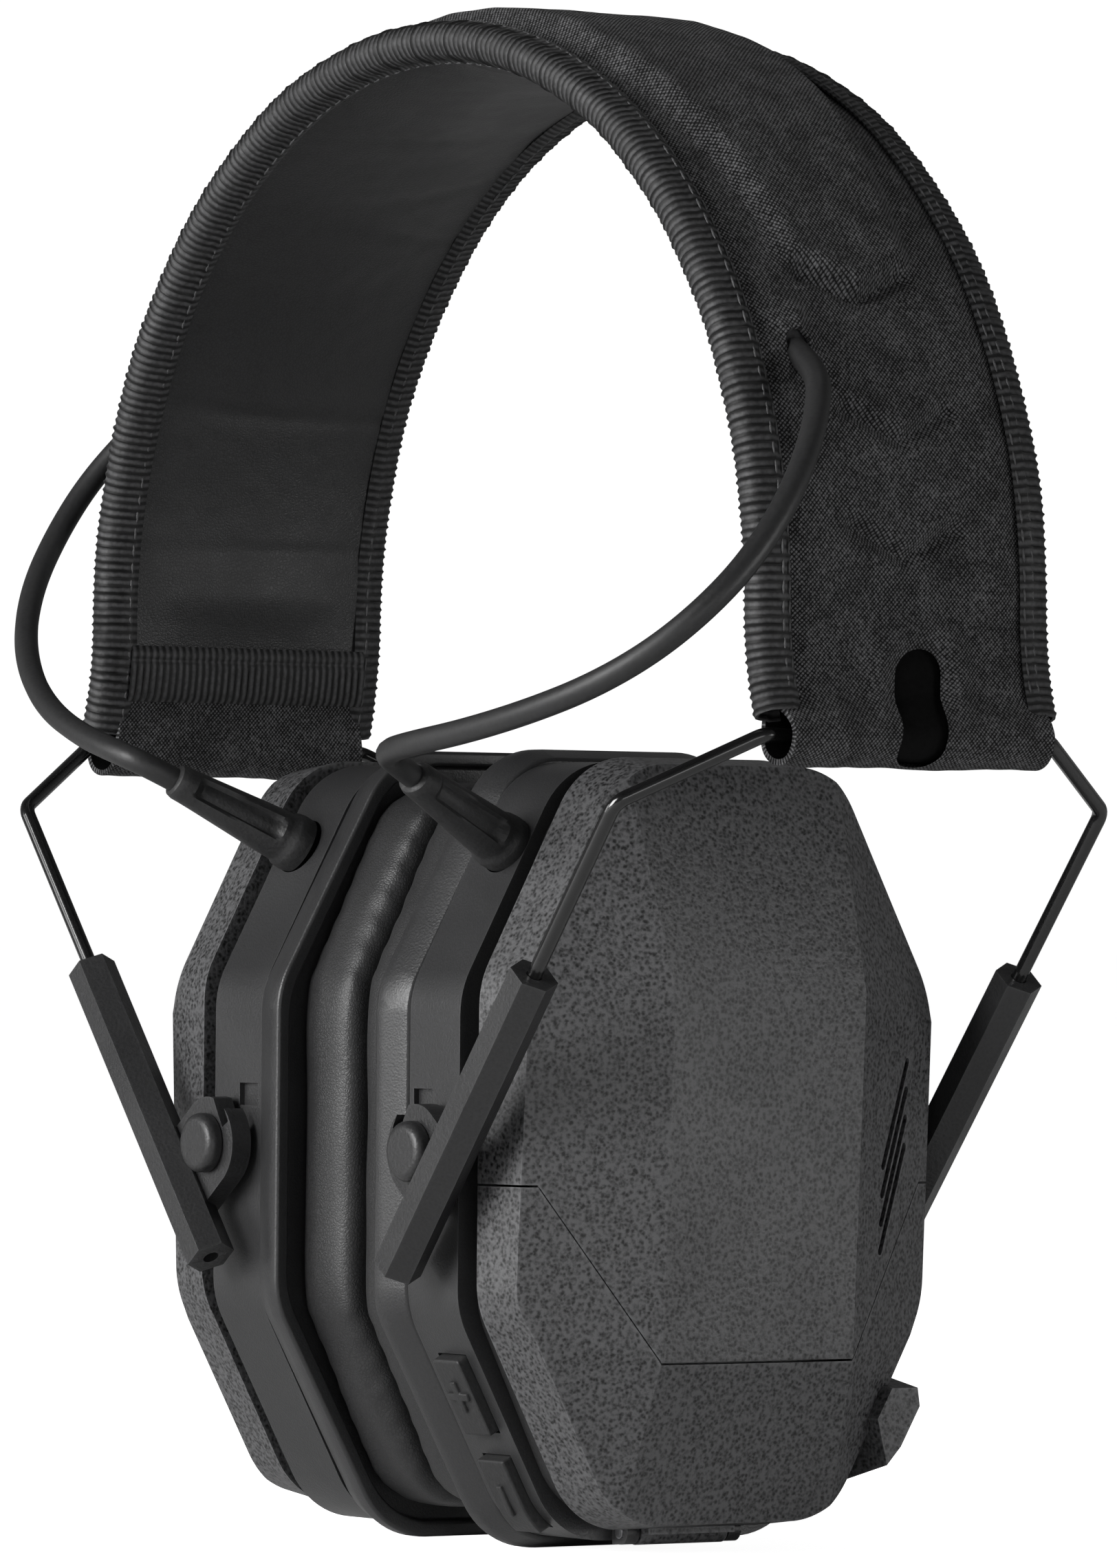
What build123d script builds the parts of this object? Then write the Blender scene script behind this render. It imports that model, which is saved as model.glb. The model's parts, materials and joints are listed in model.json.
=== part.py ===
from build123d import *
import math
import os

# Electronic earmuff hearing protector. Millimetres, +Z up, +X is the wearer's right, +Y the wearer's front.
# The right cup is modelled and the left one is its mirror image in the YZ plane. The origin is at the
# bottom centre, at the height of the surface that the two cup flanges stand on.

# ---- ear cups -------------------------------------------------------------------------------------------
CUP_Z = 53.0                 # height of the cup's middle and of its pivot studs
FLANGE_X = 11.4              # ear-side edge of the flange lip
LIP_W = 2.2                  # flat land round the lip; its bottom is what the cup stands on
RIM_X = 17.4                 # the rim band runs from here to the groove
GROOVE_X = 28.8
SHELL_X = 32.4               # the outer shell starts here
FLANGE_HALF = (36.0, 53.0)   # half width and half height of each outline
RIM_HALF = (34.5, 51.2)
GROOVE_HALF = (31.5, 48.2)
SHELL_HALF = (34.0, 50.7)
SHELL_SHIFT_Z = 1.1          # the shell sits a little high on the rim
SHELL_TAPER = 6.6            # draft of the shell's side wall, degrees
FLAT_Z = 21.0                # half height of the outline's straight sides
FLAT_Y = 18.0                # half width of its straight top and bottom
CORNER_R = 12.0
WALL = 2.2
FACE_EDGE_X = 41.0           # where the side wall turns into the facets
FACE_EDGE_Y = 33.0
FACE_TOP_Z, FACE_BOTTOM_Z = 50.7, -48.5
PANEL_TOP = (50.4, 21.1)     # X and height above the middle, upper edge of the flat panel
PANEL_BOTTOM = (48.1, -26.7)
PANEL_HALF_Y = 15.5
SEAM_SIDE_Z = -4.0           # seam of the lower cover on the side walls
SEAM_TURN_Y = 31.0
SEAM_BOTTOM_Z = -27.0
SEAM_GAP = 0.3
CUSHION_X = (1.2, 13.2)
CUSHION_HALF = (31.8, 48.8)
EAR_HOLE_HALF = (18.5, 33.0)
BAFFLE_X = (18.7, 20.1)
DRIVER_R = 20.0
SCREWS = [(23.0, 24.0), (12.0, 41.0)]    # Y and height above the middle, one pair each side
VENTS = 4
VENT_PITCH = 3.75
BUTTON = (6.0, 11.4)         # across the rim and along its slanted wall
BUTTON_X = 23.3
BUTTON_HEIGHTS = {"volume_plus_button": -31.7, "volume_minus_button": -45.0}
BOOT_X, BOOT_HEIGHT = 24.2, 40.0
BOOT_TIP = (28.3, -42.0, 101.8)
BOOT_R, BOOT_TIP_R = 4.0, 2.6
HINGE = (30.6, 2.9)          # X and Z of the battery door's pin
HINGE_R = 0.8
CELL_R, CELL_LEN = 5.25, 44.5
CELL_X = 36.5
CELL_HEIGHTS = (-27.6, -16.4)

# ---- yokes, arms, studs ---------------------------------------------------------------------------------
WIRE_R = 1.0
HEM_AXIS = (79.0, 107.0)     # X and Z of the wire's run through the hem; the yoke turns about it
HEM_EXIT_Y = 23.0
BEND = (69.6, 98.2)          # X and Z of the wire's outer bend
BEND_R = 3.0
LEG_Y = 39.4                 # the wire legs and the arms lie in this plane, front and rear
LEG_DIR = (0.618, 0.786)     # up along the leg, in X and Z
ARM_TOP = (52.3, 76.2)
ARM_LEN = 49.0
ARM_R = 3.3                  # hexagon, centre to corner
WIRE_IN_ARM = 24.0
STUD_X = 24.5
STUD_R = 2.7
STUD_CAP_R = 4.0
BOSS_R = 6.2
BOSS_Y = (35.6, 38.6)
RUN_FIT = 0.08               # radial running clearance

# ---- headband -------------------------------------------------------------------------------------------
BAND_R = 76.3                # arch radius of the band's middle layer
BAND_Z = 124.2               # height of the arch centre
LEG_ARC_R = 46.6             # below that the legs flare outwards on this radius
BINDING_Y = (21.0, 24.0)
PAD_HALF_Y = 20.5
COVER_HALF_Y = 20.8
SPRING_HALF_Y = 9.0
HEM_R = 4.0
CROWN_DEG = 31.6             # the raised crown pad ends here, above the horizontal
HOLE_DEG = 24.7              # the cord goes into the cover here
HOLE_Y = -12.5
SLOT = (2.6, 7.0, 104.8, 118.4)      # middle Y, width, lowest and highest Z of the slot above the hem
PAD = (-2.8, -0.8)           # inner and outer offset of each layer from the middle one
SPRING = (-0.8, -0.1)
FOAM = (-0.8, 1.4)
COVER = (1.4, 2.2)
CROWN = (2.2, 5.2)
BINDING = (-1.9, 2.3)

# ---- cords ----------------------------------------------------------------------------------------------
CORD_R = 1.65
ROUTE_RIGHT = [(29.31, -46.39, 103.96), (33.0, -49.3, 104.9), (40.0, -50.8, 105.7), (53.0, -51.0, 107.2), (66.5, -50.5, 109.6),
               (77.0, -48.5, 112.6), (84.0, -44.5, 116.8), (88.0, -39.5, 122.0), (89.2, -33.5, 128.0),
               (88.6, -27.7, 134.8), (86.4, -22.5, 141.5), (82.6, -17.6, 148.2), (77.6, -13.8, 153.6)]
ROUTE_LEFT = [(-29.31, -46.39, 103.96), (-34.0, -47.8, 105.6), (-43.0, -47.4, 107.8), (-54.0, -45.6, 111.4), (-64.0, -42.4, 116.4),
              (-72.5, -38.0, 122.4), (-78.5, -32.8, 129.4), (-82.0, -26.8, 136.8), (-83.2, -21.0, 144.0),
              (-81.0, -16.0, 150.4), (-76.8, -13.2, 154.6)]

parts = {}
os.makedirs("parts", exist_ok=True)


# ---- shapes shared by the cup's pieces ------------------------------------------------------------------
def across(x, z=0.0):
    """Sketch plane across the cup at X: local x is the object's Y, local y its height from the middle."""
    return Plane(origin=(x, 0, CUP_Z + z), x_dir=(0, 1, 0), z_dir=(1, 0, 0))


def facing(x, y, z, side):
    """Sketch plane that faces the front (side 1) or the rear (side -1)."""
    return Plane(origin=(x, y, z), x_dir=(1, 0, 0), z_dir=(0, side, 0))


def outline(half, inset, radius):
    """The cup's long octagon with rounded corners."""
    hy, hz = half[0] - inset, half[1] - inset
    side = FLAT_Z - 0.45 * inset
    top = FLAT_Y - 0.6 * inset
    corners = [(hy, -side), (hy, side), (top, hz), (-top, hz), (-hy, side), (-hy, -side), (-top, -hz), (top, -hz)]
    face = make_face(Polyline(*corners, close=True))
    return fillet(face.vertices(), radius)


def slab(half, x0, x1, inset=0.0, taper=0.0, z=0.0, radius=CORNER_R):
    return extrude(across(x0, z) * outline(half, inset, radius), amount=x1 - x0, taper=taper)


def rounded_slab(half, x0, x1, radius):
    return extrude(across(x0) * RectangleRounded(2 * half[0], 2 * half[1], radius), amount=x1 - x0)


def rod(x, y, height, x0, x1, radius):
    """A round bar along X, at Y and at a height from the cup's middle."""
    return extrude(across(x0) * Pos(y, height) * Circle(radius), amount=x1 - x0)


def cut_by_plane(solid, p, q, r):
    """Takes away all of the solid that lies outside the plane through three points."""
    normal = (Vector(*q) - Vector(*p)).cross(Vector(*r) - Vector(*p)).normalized()
    if normal.X < 0:
        normal = -normal
    return solid - extrude(Plane(origin=p, z_dir=normal) * Rectangle(300, 300), amount=80)


def faceted_block(inset):
    """The outer shell's solid form: a drafted prism with a flat panel, four slopes and four corner facets."""
    start = SHELL_X - (0.5 if inset else 0.0)
    body = slab(SHELL_HALF, start, 56.0, inset, SHELL_TAPER, SHELL_SHIFT_Z)
    xt, zt = PANEL_TOP[0] - inset, CUP_Z + PANEL_TOP[1]
    xb, zb = PANEL_BOTTOM[0] - inset, CUP_Z + PANEL_BOTTOM[1]
    xe = FACE_EDGE_X - inset
    top, bottom = CUP_Z + FACE_TOP_Z, CUP_Z + FACE_BOTTOM_Z
    upper, lower = CUP_Z + FLAT_Z - 1.0, CUP_Z - FLAT_Z + 1.0
    py, fy = PANEL_HALF_Y, FLAT_Y - 1.0
    body = cut_by_plane(body, (xt, py, zt), (xt, -py, zt), (xb, py, zb))
    body = cut_by_plane(body, (xt, py, zt), (xt, -py, zt), (xe, fy, top))
    body = cut_by_plane(body, (xb, py, zb), (xb, -py, zb), (xe, fy, bottom))
    for s in (1, -1):
        body = cut_by_plane(body, (xt, s * py, zt), (xb, s * py, zb), (xe, s * FACE_EDGE_Y, CUP_Z))
        body = cut_by_plane(body, (xt, s * py, zt), (xe, s * FACE_EDGE_Y, upper), (xe, s * fy, top))
        body = cut_by_plane(body, (xb, s * py, zb), (xe, s * FACE_EDGE_Y, lower), (xe, s * fy, bottom))
    return body


def below_seam(gap):
    """Everything under the seam between the outer shell and the lower cover."""
    side, low = SEAM_SIDE_Z - gap, SEAM_BOTTOM_Z - gap
    pts = [(-60, side), (-SEAM_TURN_Y, side), (-PANEL_HALF_Y, low), (PANEL_HALF_Y, low),
           (SEAM_TURN_Y, side), (60, side), (60, -80), (-60, -80)]
    return extrude(across(SHELL_X - 2) * make_face(Polyline(*pts, close=True)), amount=40)


def slant_point(x, height):
    """Point on the rim's rear slanted wall, with the direction along the wall and its outward normal."""
    along = Vector(0, RIM_HALF[0] - FLAT_Y, RIM_HALF[1] - FLAT_Z).normalized()
    share = (abs(height) - FLAT_Z) / (RIM_HALF[1] - FLAT_Z)
    y = -(RIM_HALF[0] - share * (RIM_HALF[0] - FLAT_Y))
    sign = 1 if height > 0 else -1
    wall = Vector(0, along.Y, sign * along.Z)
    out = Vector(0, -along.Z, sign * along.Y)
    return Vector(x, y, CUP_Z + height), wall, out


def on_slant(x, height, depth):
    """Sketch plane parallel to the rim's rear slanted wall, a depth inside it: local x is X, local z is out."""
    point, _, out = slant_point(x, height)
    return Plane(origin=point - out * depth, x_dir=(1, 0, 0), z_dir=out)


def boot_plane():
    """Sketch plane at the strain relief's foot, looking along it to its tip."""
    foot, _, _ = slant_point(BOOT_X, BOOT_HEIGHT)
    return Plane(origin=foot, z_dir=Vector(*BOOT_TIP) - foot), (Vector(*BOOT_TIP) - foot).length


# ---- the cup --------------------------------------------------------------------------------------------
def flange():
    body = slab(FLANGE_HALF, FLANGE_X, FLANGE_X + LIP_W) + slab(FLANGE_HALF, FLANGE_X + LIP_W, RIM_X, taper=18)
    body -= slab(FLANGE_HALF, FLANGE_X - 1, FLANGE_X + 2, inset=2.0)
    return body - rounded_slab(EAR_HOLE_HALF, FLANGE_X, RIM_X + 1, 17)


def rim_shell():
    """Rim band with its end wall, bores for the studs, a snap pocket above each, and the boot's hole."""
    body = slab(RIM_HALF, RIM_X, GROOVE_X) - slab(RIM_HALF, RIM_X - 1, GROOVE_X - WALL, inset=2.4)
    body -= rounded_slab((12, 20), GROOVE_X - 5, GROOVE_X + 1, 8)
    for s in (1, -1):
        body -= extrude(facing(STUD_X, s * 30, CUP_Z, s) * Circle(STUD_R), amount=10)
        body -= Pos(RIM_X + 3.2, s * RIM_HALF[0], CUP_Z + 6.6) * Box(4.4, 1.6, 3.0)
        for y, height in SCREWS:
            body -= rod(0, s * y, height, GROOVE_X - 4, GROOVE_X + 1, 1.2)
    plane, _ = boot_plane()
    return body - extrude(plane.offset(-4.0) * Circle(BOOT_R), amount=9)


def shell_gasket():
    return slab(GROOVE_HALF, GROOVE_X, SHELL_X) - slab(GROOVE_HALF, GROOVE_X - 1, SHELL_X + 1, inset=3.0)


def outer_shell():
    """Upper part of the outer shell, with vent slots in its front slope and four screw posts."""
    body = faceted_block(0.0) - faceted_block(WALL)
    for s in (1, -1):
        for y, height in SCREWS:
            post = rod(0, s * y, height, GROOVE_X + 0.2, 50, 2.4) & (
                faceted_block(0.5) + slab(GROOVE_HALF, GROOVE_X, SHELL_X, inset=3.2))
            body += post - rod(0, s * y, height, GROOVE_X, SHELL_X + 5, 1.0)
    body -= below_seam(0.0)
    for i in range(VENTS):
        slot = Pos(24.2, 5.1 - VENT_PITCH * i) * Rot(0, 0, -21) * SlotOverall(15.8, 1.0, rotation=90)
        body -= extrude(across(38) * slot, amount=12)
    return body


def lower_cover():
    return (faceted_block(0.0) - faceted_block(WALL)) & below_seam(SEAM_GAP)


def battery_door():
    """The lower cover with a hinge knuckle under it, relieved beside the rim's lugs."""
    body = lower_cover()
    knuckle = extrude(facing(HINGE[0], -7.0, HINGE[1], 1) * Circle(1.7), amount=14)
    knuckle += Pos(HINGE[0] + 1.6, 0, HINGE[1] + 0.75) * Box(3.2, 14, 1.9)
    for s in (1, -1):
        body -= extrude(facing(HINGE[0], s * 6.9, HINGE[1], s) * Circle(2.6), amount=3.0)
    body += knuckle
    return body - extrude(facing(HINGE[0], -12, HINGE[1], 1) * Circle(HINGE_R + RUN_FIT), amount=24)


def hinge_lugs():
    """Two lugs on the rim that hold the battery door's pin."""
    lugs = []
    for s in (1, -1):
        lug = extrude(facing(HINGE[0], s * 7.3, HINGE[1], s) * Circle(1.6), amount=2.0)
        lug += Pos(HINGE[0] - 0.9, s * 8.3, HINGE[1]) * Box(1.8, 2.0, 3.2)
        lugs.append(lug - extrude(facing(HINGE[0], s * 5, HINGE[1], s) * Circle(HINGE_R), amount=8))
    return lugs


def ear_cushion():
    hole = (EAR_HOLE_HALF[0] - 1, EAR_HOLE_HALF[1] - 1)
    return slab(CUSHION_HALF, *CUSHION_X) - rounded_slab(hole, CUSHION_X[0] - 1, CUSHION_X[1] + 1, 16)


def pivot_studs():
    """Front and rear studs: a shaft pressed into the rim, with a low domed cap that keeps the arm on."""
    studs = []
    for s in (1, -1):
        shaft = extrude(facing(STUD_X, s * 32.2, CUP_Z, s) * Circle(STUD_R), amount=BOSS_Y[1] + 0.2 - 32.2)
        cap = extrude(facing(STUD_X, s * (BOSS_Y[1] + 0.2), CUP_Z, s) * Circle(STUD_CAP_R), amount=2.0)
        rim_edge = cap.edges().filter_by(GeomType.CIRCLE).sort_by(Axis.Y)[-1 if s > 0 else 0]
        studs.append(shaft + fillet(rim_edge, 1.2))
    return Compound(children=studs)


def cord_boot():
    plane, length = boot_plane()
    foot = plane.offset(-2.8)
    body = loft([foot * Circle(BOOT_R), plane * Circle(BOOT_R), plane.offset(length) * Circle(BOOT_TIP_R)],
                ruled=True)
    return body


def mic_pod():
    """Angular microphone housing on the lower front slope."""
    pts = [(21.9, -35.1), (24.9, -30.0), (31.0, -30.0), (31.6, -34.0), (28.2, -39.8), (24.2, -44.0)]
    face = make_face(Polyline(*pts, close=True))
    return extrude(across(34.5) * face, amount=9.0, taper=8) - faceted_block(0.0)


def volume_button(height):
    """A cap through the rim wall that follows its curve, 1.4 proud, with a longer foot behind the wall."""
    x0, x1 = BUTTON_X - BUTTON[0] / 2, BUTTON_X + BUTTON[0] / 2
    plane = on_slant(BUTTON_X, height, 12)
    cap = slab(RIM_HALF, x0, x1, inset=-1.4) - slab(RIM_HALF, x0, x1, inset=2.5)
    foot = slab(RIM_HALF, x0, x1, inset=2.5) - slab(RIM_HALF, x0, x1, inset=3.4)
    cap &= extrude(plane * Rectangle(*BUTTON), amount=24)
    foot &= extrude(plane * Rectangle(BUTTON[0], BUTTON[1] + 2.4), amount=24)
    return cap + foot


def battery_tray():
    z = CUP_Z + sum(CELL_HEIGHTS) / 2
    room = slab(GROOVE_HALF, GROOVE_X, FACE_EDGE_X, inset=4.2)
    body = Pos(33.3, 0, z) * Box(7.0, 48.0, 24.0) & room
    for height in CELL_HEIGHTS:
        body -= extrude(facing(CELL_X, -CELL_LEN / 2 - 0.9, CUP_Z + height, 1) * Circle(CELL_R + 0.15),
                        amount=CELL_LEN + 1.8)
    return body


def cells():
    bars = []
    for height in CELL_HEIGHTS:
        bar = extrude(facing(CELL_X, -CELL_LEN / 2, CUP_Z + height, 1) * Circle(CELL_R), amount=CELL_LEN - 0.8)
        tip = extrude(facing(CELL_X, CELL_LEN / 2 - 0.8, CUP_Z + height, 1) * Circle(1.9), amount=0.8)
        bars.append(bar + tip)
    return Compound(children=bars)


def battery_contacts():
    plates = []
    for height in CELL_HEIGHTS:
        for s in (1, -1):
            plates.append(Pos(CELL_X - 1.5, s * (CELL_LEN / 2 + 0.45), CUP_Z + height) * Box(5.0, 0.5, 6.0))
    return Compound(children=plates)


def cup_screws():
    screws = []
    for s in (1, -1):
        for y, height in SCREWS:
            head = rod(0, s * y, height, GROOVE_X - WALL - 1.4, GROOVE_X - WALL, 2.0)
            screws.append(head + rod(0, s * y, height, GROOVE_X - WALL - 0.1, SHELL_X + 4, 1.0))
    return Compound(children=screws)


def speaker_driver():
    cone = rod(0, 0, 0, BAFFLE_X[1] + 0.1, BAFFLE_X[1] + 3.1, DRIVER_R)
    return cone + rod(0, 0, 0, BAFFLE_X[1] + 3.0, GROOVE_X - WALL + 1.0, 8.0)


# ---- yoke and arms --------------------------------------------------------------------------------------
def leg_point(distance, side):
    """Point on the wire leg's axis, a distance up from the arm's top; side is 1 front, -1 rear."""
    return (ARM_TOP[0] + LEG_DIR[0] * distance, side * LEG_Y, ARM_TOP[1] + LEG_DIR[1] * distance)


def yoke_wire():
    points = [leg_point(-WIRE_IN_ARM, -1), (BEND[0], -LEG_Y, BEND[1]), (HEM_AXIS[0], -HEM_EXIT_Y, HEM_AXIS[1]),
              (HEM_AXIS[0], HEM_EXIT_Y, HEM_AXIS[1]), (BEND[0], LEG_Y, BEND[1]), leg_point(-WIRE_IN_ARM, 1)]
    path = FilletPolyline(*points, radius=BEND_R)
    return tube(path, WIRE_R)


def adjuster_arm(side):
    """Hexagonal arm bored for the wire, with a split ring beside it that clips round the stud."""
    foot = Plane(origin=leg_point(-ARM_LEN, side), x_dir=(0, 1, 0), z_dir=(LEG_DIR[0], 0, LEG_DIR[1]))
    bar = extrude(foot * RegularPolygon(ARM_R, 6, rotation=30), amount=ARM_LEN)
    y0, y1 = BOSS_Y
    boss = extrude(facing(STUD_X, side * y0, CUP_Z, side) * Circle(BOSS_R), amount=y1 - y0)
    along = (STUD_X - ARM_TOP[0]) * LEG_DIR[0] + (CUP_Z - ARM_TOP[1]) * LEG_DIR[1]
    middle = leg_point(along, side)
    web = Plane(origin=((STUD_X + middle[0]) / 2, side * y0, (CUP_Z + middle[2]) / 2), z_dir=(0, side, 0),
                x_dir=(LEG_DIR[0], 0, LEG_DIR[1]))
    body = bar + boss + extrude(web * Rectangle(2 * BOSS_R, 7.0), amount=y1 - y0)
    body -= extrude(facing(STUD_X, side * (y0 - 1), CUP_Z, side) * Circle(STUD_R + RUN_FIT), amount=8)
    notch = Pos(STUD_X - 2.6, side * (y0 + y1) / 2, CUP_Z + 5.6) * Rot(0, 30, 0) * Box(1.6, y1 - y0 + 1, 7.0)
    body -= notch
    return body - extrude(foot.offset(-1) * Circle(WIRE_R + RUN_FIT), amount=ARM_LEN + 2)


# ---- headband -------------------------------------------------------------------------------------------
def arch_point(offset, deg, y=0.0):
    """Point on the arch, at an offset from its middle layer and an angle above the horizontal."""
    a = math.radians(deg)
    return ((BAND_R + offset) * math.cos(a), y, BAND_Z + (BAND_R + offset) * math.sin(a))


def flare_point(offset, deg, y=0.0):
    """Point on the right leg's flare, at an angle below the end of the arch."""
    a = math.radians(deg)
    radius = LEG_ARC_R - offset
    return (BAND_R + LEG_ARC_R - radius * math.cos(a), y, BAND_Z - radius * math.sin(a))


def mirrored(point):
    return (-point[0], point[1], point[2])


def band_layer(offsets, y0, y1, leg_deg):
    """One layer of the band: the half-circle arch and both flared legs."""
    low, high = offsets
    edges = []
    for offset in (low, high):
        end = flare_point(offset, leg_deg)
        half = flare_point(offset, leg_deg / 2)
        start = arch_point(offset, 0)
        edges.append(ThreePointArc(end, half, start))
        edges.append(ThreePointArc(start, arch_point(offset, 90), mirrored(start)))
        edges.append(ThreePointArc(mirrored(start), mirrored(half), mirrored(end)))
    ends = [Line(flare_point(low, leg_deg), flare_point(high, leg_deg)),
            Line(mirrored(flare_point(low, leg_deg)), mirrored(flare_point(high, leg_deg)))]
    face = make_face(edges + ends)
    return extrude(Pos(0, y0, 0) * face, amount=y1 - y0, dir=(0, 1, 0))


def sector(place, offsets, y0, y1, deg0, deg1):
    """Part of a layer between two angles, on the arch or on the right leg's flare."""
    low, high = offsets
    mid = (deg0 + deg1) / 2
    face = make_face([ThreePointArc(place(low, deg0), place(low, mid), place(low, deg1)),
                      Line(place(low, deg1), place(high, deg1)),
                      ThreePointArc(place(high, deg1), place(high, mid), place(high, deg0)),
                      Line(place(high, deg0), place(low, deg0))])
    return extrude(Pos(0, y0, 0) * face, amount=y1 - y0, dir=(0, 1, 0))


def hem_slot(x0):
    """The oval slot in the outer fabric above the hem, from X outwards."""
    y, width, low, high = SLOT
    face = Pos(y, (low + high) / 2 - CUP_Z) * SlotOverall(high - low, width, rotation=90)
    return extrude(across(x0) * face, amount=20)


def outer_cover():
    body = band_layer(COVER, -COVER_HALF_Y, COVER_HALF_Y, 15.6)
    cut = hem_slot(HEM_AXIS[0] - 6)
    return body - cut - mirror(cut, about=Plane.YZ)


def foam_core():
    """Foam between the cover and the pad, with a pocket for the spring and a groove for the lead."""
    body = band_layer(FOAM, -COVER_HALF_Y, COVER_HALF_Y, 15.0)
    body -= band_layer(SPRING, -SPRING_HALF_Y, SPRING_HALF_Y, 12.0)
    return body - sector(arch_point, (-0.6, FOAM[1]), HOLE_Y - 1.1, HOLE_Y + 1.1, HOLE_DEG + 1, 179 - HOLE_DEG)


def crossover_lead():
    """Lead inside the band that joins the two cords."""
    radius = 0.4
    deg0, deg1 = HOLE_DEG + 1.6, 178.4 - HOLE_DEG
    path = ThreePointArc(arch_point(radius, deg0, HOLE_Y), arch_point(radius, 90, HOLE_Y),
                         arch_point(radius, deg1, HOLE_Y))
    return tube(path, 0.9)


def hem_loop():
    """Fabric pocket that the wire runs through, joined to the cover above it and open at the slot."""
    x, z = HEM_AXIS
    body = extrude(facing(x, -COVER_HALF_Y, z, 1) * Circle(HEM_R), amount=2 * COVER_HALF_Y)
    body += sector(flare_point, (-0.8, 2.2), -COVER_HALF_Y, COVER_HALF_Y, 15.8, 19.5)
    body -= hem_slot(x + WIRE_R + 1.0)
    return body - extrude(facing(x, -30, z, 1) * Circle(WIRE_R + RUN_FIT), amount=60)


def binding(side):
    y0, y1 = sorted((side * BINDING_Y[0], side * BINDING_Y[1]))
    return band_layer(BINDING, y0, y1, 18.6)


# ---- cords ----------------------------------------------------------------------------------------------
def cord_path(route, side):
    """From the strain relief's tip to the hole in the cover: straight runs joined by the largest arcs."""
    start = (side * BOOT_TIP[0], BOOT_TIP[1], BOOT_TIP[2])
    end = arch_point(COVER[0] + 0.1, HOLE_DEG, HOLE_Y)
    points = [Vector(*p) for p in [start] + route + [(side * end[0], end[1], end[2])]]
    radii = []
    for before, here, after in zip(points, points[1:], points[2:]):
        run_in, run_out = here - before, after - here
        half_turn = math.radians(run_in.get_angle(run_out)) / 2
        radii.append(0.45 * min(run_in.length, run_out.length) / math.tan(half_turn))
    print("cord radii", [round(r, 1) for r in radii])
    return FilletPolyline(*points, radius=radii)


def tube(path, radius):
    return sweep(Plane(origin=path @ 0, z_dir=path % 0) * Circle(radius), path=path)


# ---- assembly -------------------------------------------------------------------------------------------
right = {
    "flange": flange(),
    "rim_shell": rim_shell(),
    "shell_gasket": shell_gasket(),
    "outer_shell": outer_shell(),
    "ear_cushion": ear_cushion(),
    "acoustic_foam": slab(RIM_HALF, RIM_X + 0.1, BAFFLE_X[0] - 0.1, inset=3.0),
    "driver_baffle": slab(RIM_HALF, *BAFFLE_X, inset=2.7) - rod(0, 0, 0, RIM_X, GROOVE_X, 17.0),
    "speaker_driver": speaker_driver(),
    "pivot_studs": pivot_studs(),
    "cord_boot": cord_boot(),
    "circuit_board": Pos(35.0, 0, CUP_Z + 16) * Box(1.6, 40.0, 36.0),
    "mic_pod": mic_pod(),
    "microphone": rod(0, 24.0, 0, SHELL_X + 2.4, SHELL_X + 5.4, 3.0),
    "cup_screws": cup_screws(),
    "yoke_wire": yoke_wire(),
    "arm_front": adjuster_arm(1),
    "arm_rear": adjuster_arm(-1),
    "hem_loop": hem_loop(),
    "hem_tape": sector(flare_point, (-2.2, -0.8), -PAD_HALF_Y, PAD_HALF_Y, 4.6, 11.6),
}
for name, solid in right.items():
    parts[name + "_right"] = solid
    parts[name + "_left"] = mirror(solid, about=Plane.YZ)

parts["lower_cover_left"] = mirror(lower_cover(), about=Plane.YZ)
parts["battery_door"] = battery_door()
parts["battery_door_pin"] = extrude(facing(HINGE[0], -9.6, HINGE[1], 1) * Circle(HINGE_R), amount=19.2)
parts["battery_tray"] = battery_tray()
parts["battery_cells"] = cells()
parts["battery_contacts"] = battery_contacts()
for name, height in BUTTON_HEIGHTS.items():
    parts[name] = volume_button(height)
    parts["rim_shell_right"] -= extrude(on_slant(BUTTON_X, height, 9) * Rectangle(BUTTON[0] + 0.4, BUTTON[1] + 0.4),
                                        amount=18)
for lug in hinge_lugs():
    parts["rim_shell_right"] += lug

parts["headband_cover"] = outer_cover()
parts["headband_foam"] = foam_core()
parts["headband_inner_pad"] = band_layer(PAD, -PAD_HALF_Y, PAD_HALF_Y, 4.0)
parts["headband_spring"] = band_layer(SPRING, -SPRING_HALF_Y + 0.1, SPRING_HALF_Y - 0.1, 11.9)
parts["headband_crown_pad"] = sector(arch_point, CROWN, -15.0, 15.0, CROWN_DEG, 180 - CROWN_DEG)
parts["binding_front"] = binding(1)
parts["binding_rear"] = binding(-1)
parts["crossover_lead"] = crossover_lead()
for name, route, side in (("cord_right", ROUTE_RIGHT, 1), ("cord_left", ROUTE_LEFT, -1)):
    path = cord_path(route, side)
    parts[name] = tube(path, CORD_R)
    expected = math.pi * CORD_R ** 2 * path.length
    print(name, "length", round(path.length, 1), "volume ratio", round(parts[name].volume / expected, 4))
    clearance = tube(path, CORD_R + 0.3)
    parts["headband_cover"] -= clearance
    parts["headband_foam"] -= clearance

for name, solid in parts.items():
    export_step(solid, os.path.join("parts", name + ".step"))
print(len(parts), "nodes")
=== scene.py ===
# %% [markdown]
# # An earmuff hearing protector
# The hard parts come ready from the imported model, and the script gives them rounded edges and real
# finishes. Everything soft is modelled here: the knitted headband with its bindings, the leatherette pad,
# the ear cushions, the cords and their strain reliefs. All of it is in metres, in the model's own frame.

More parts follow.
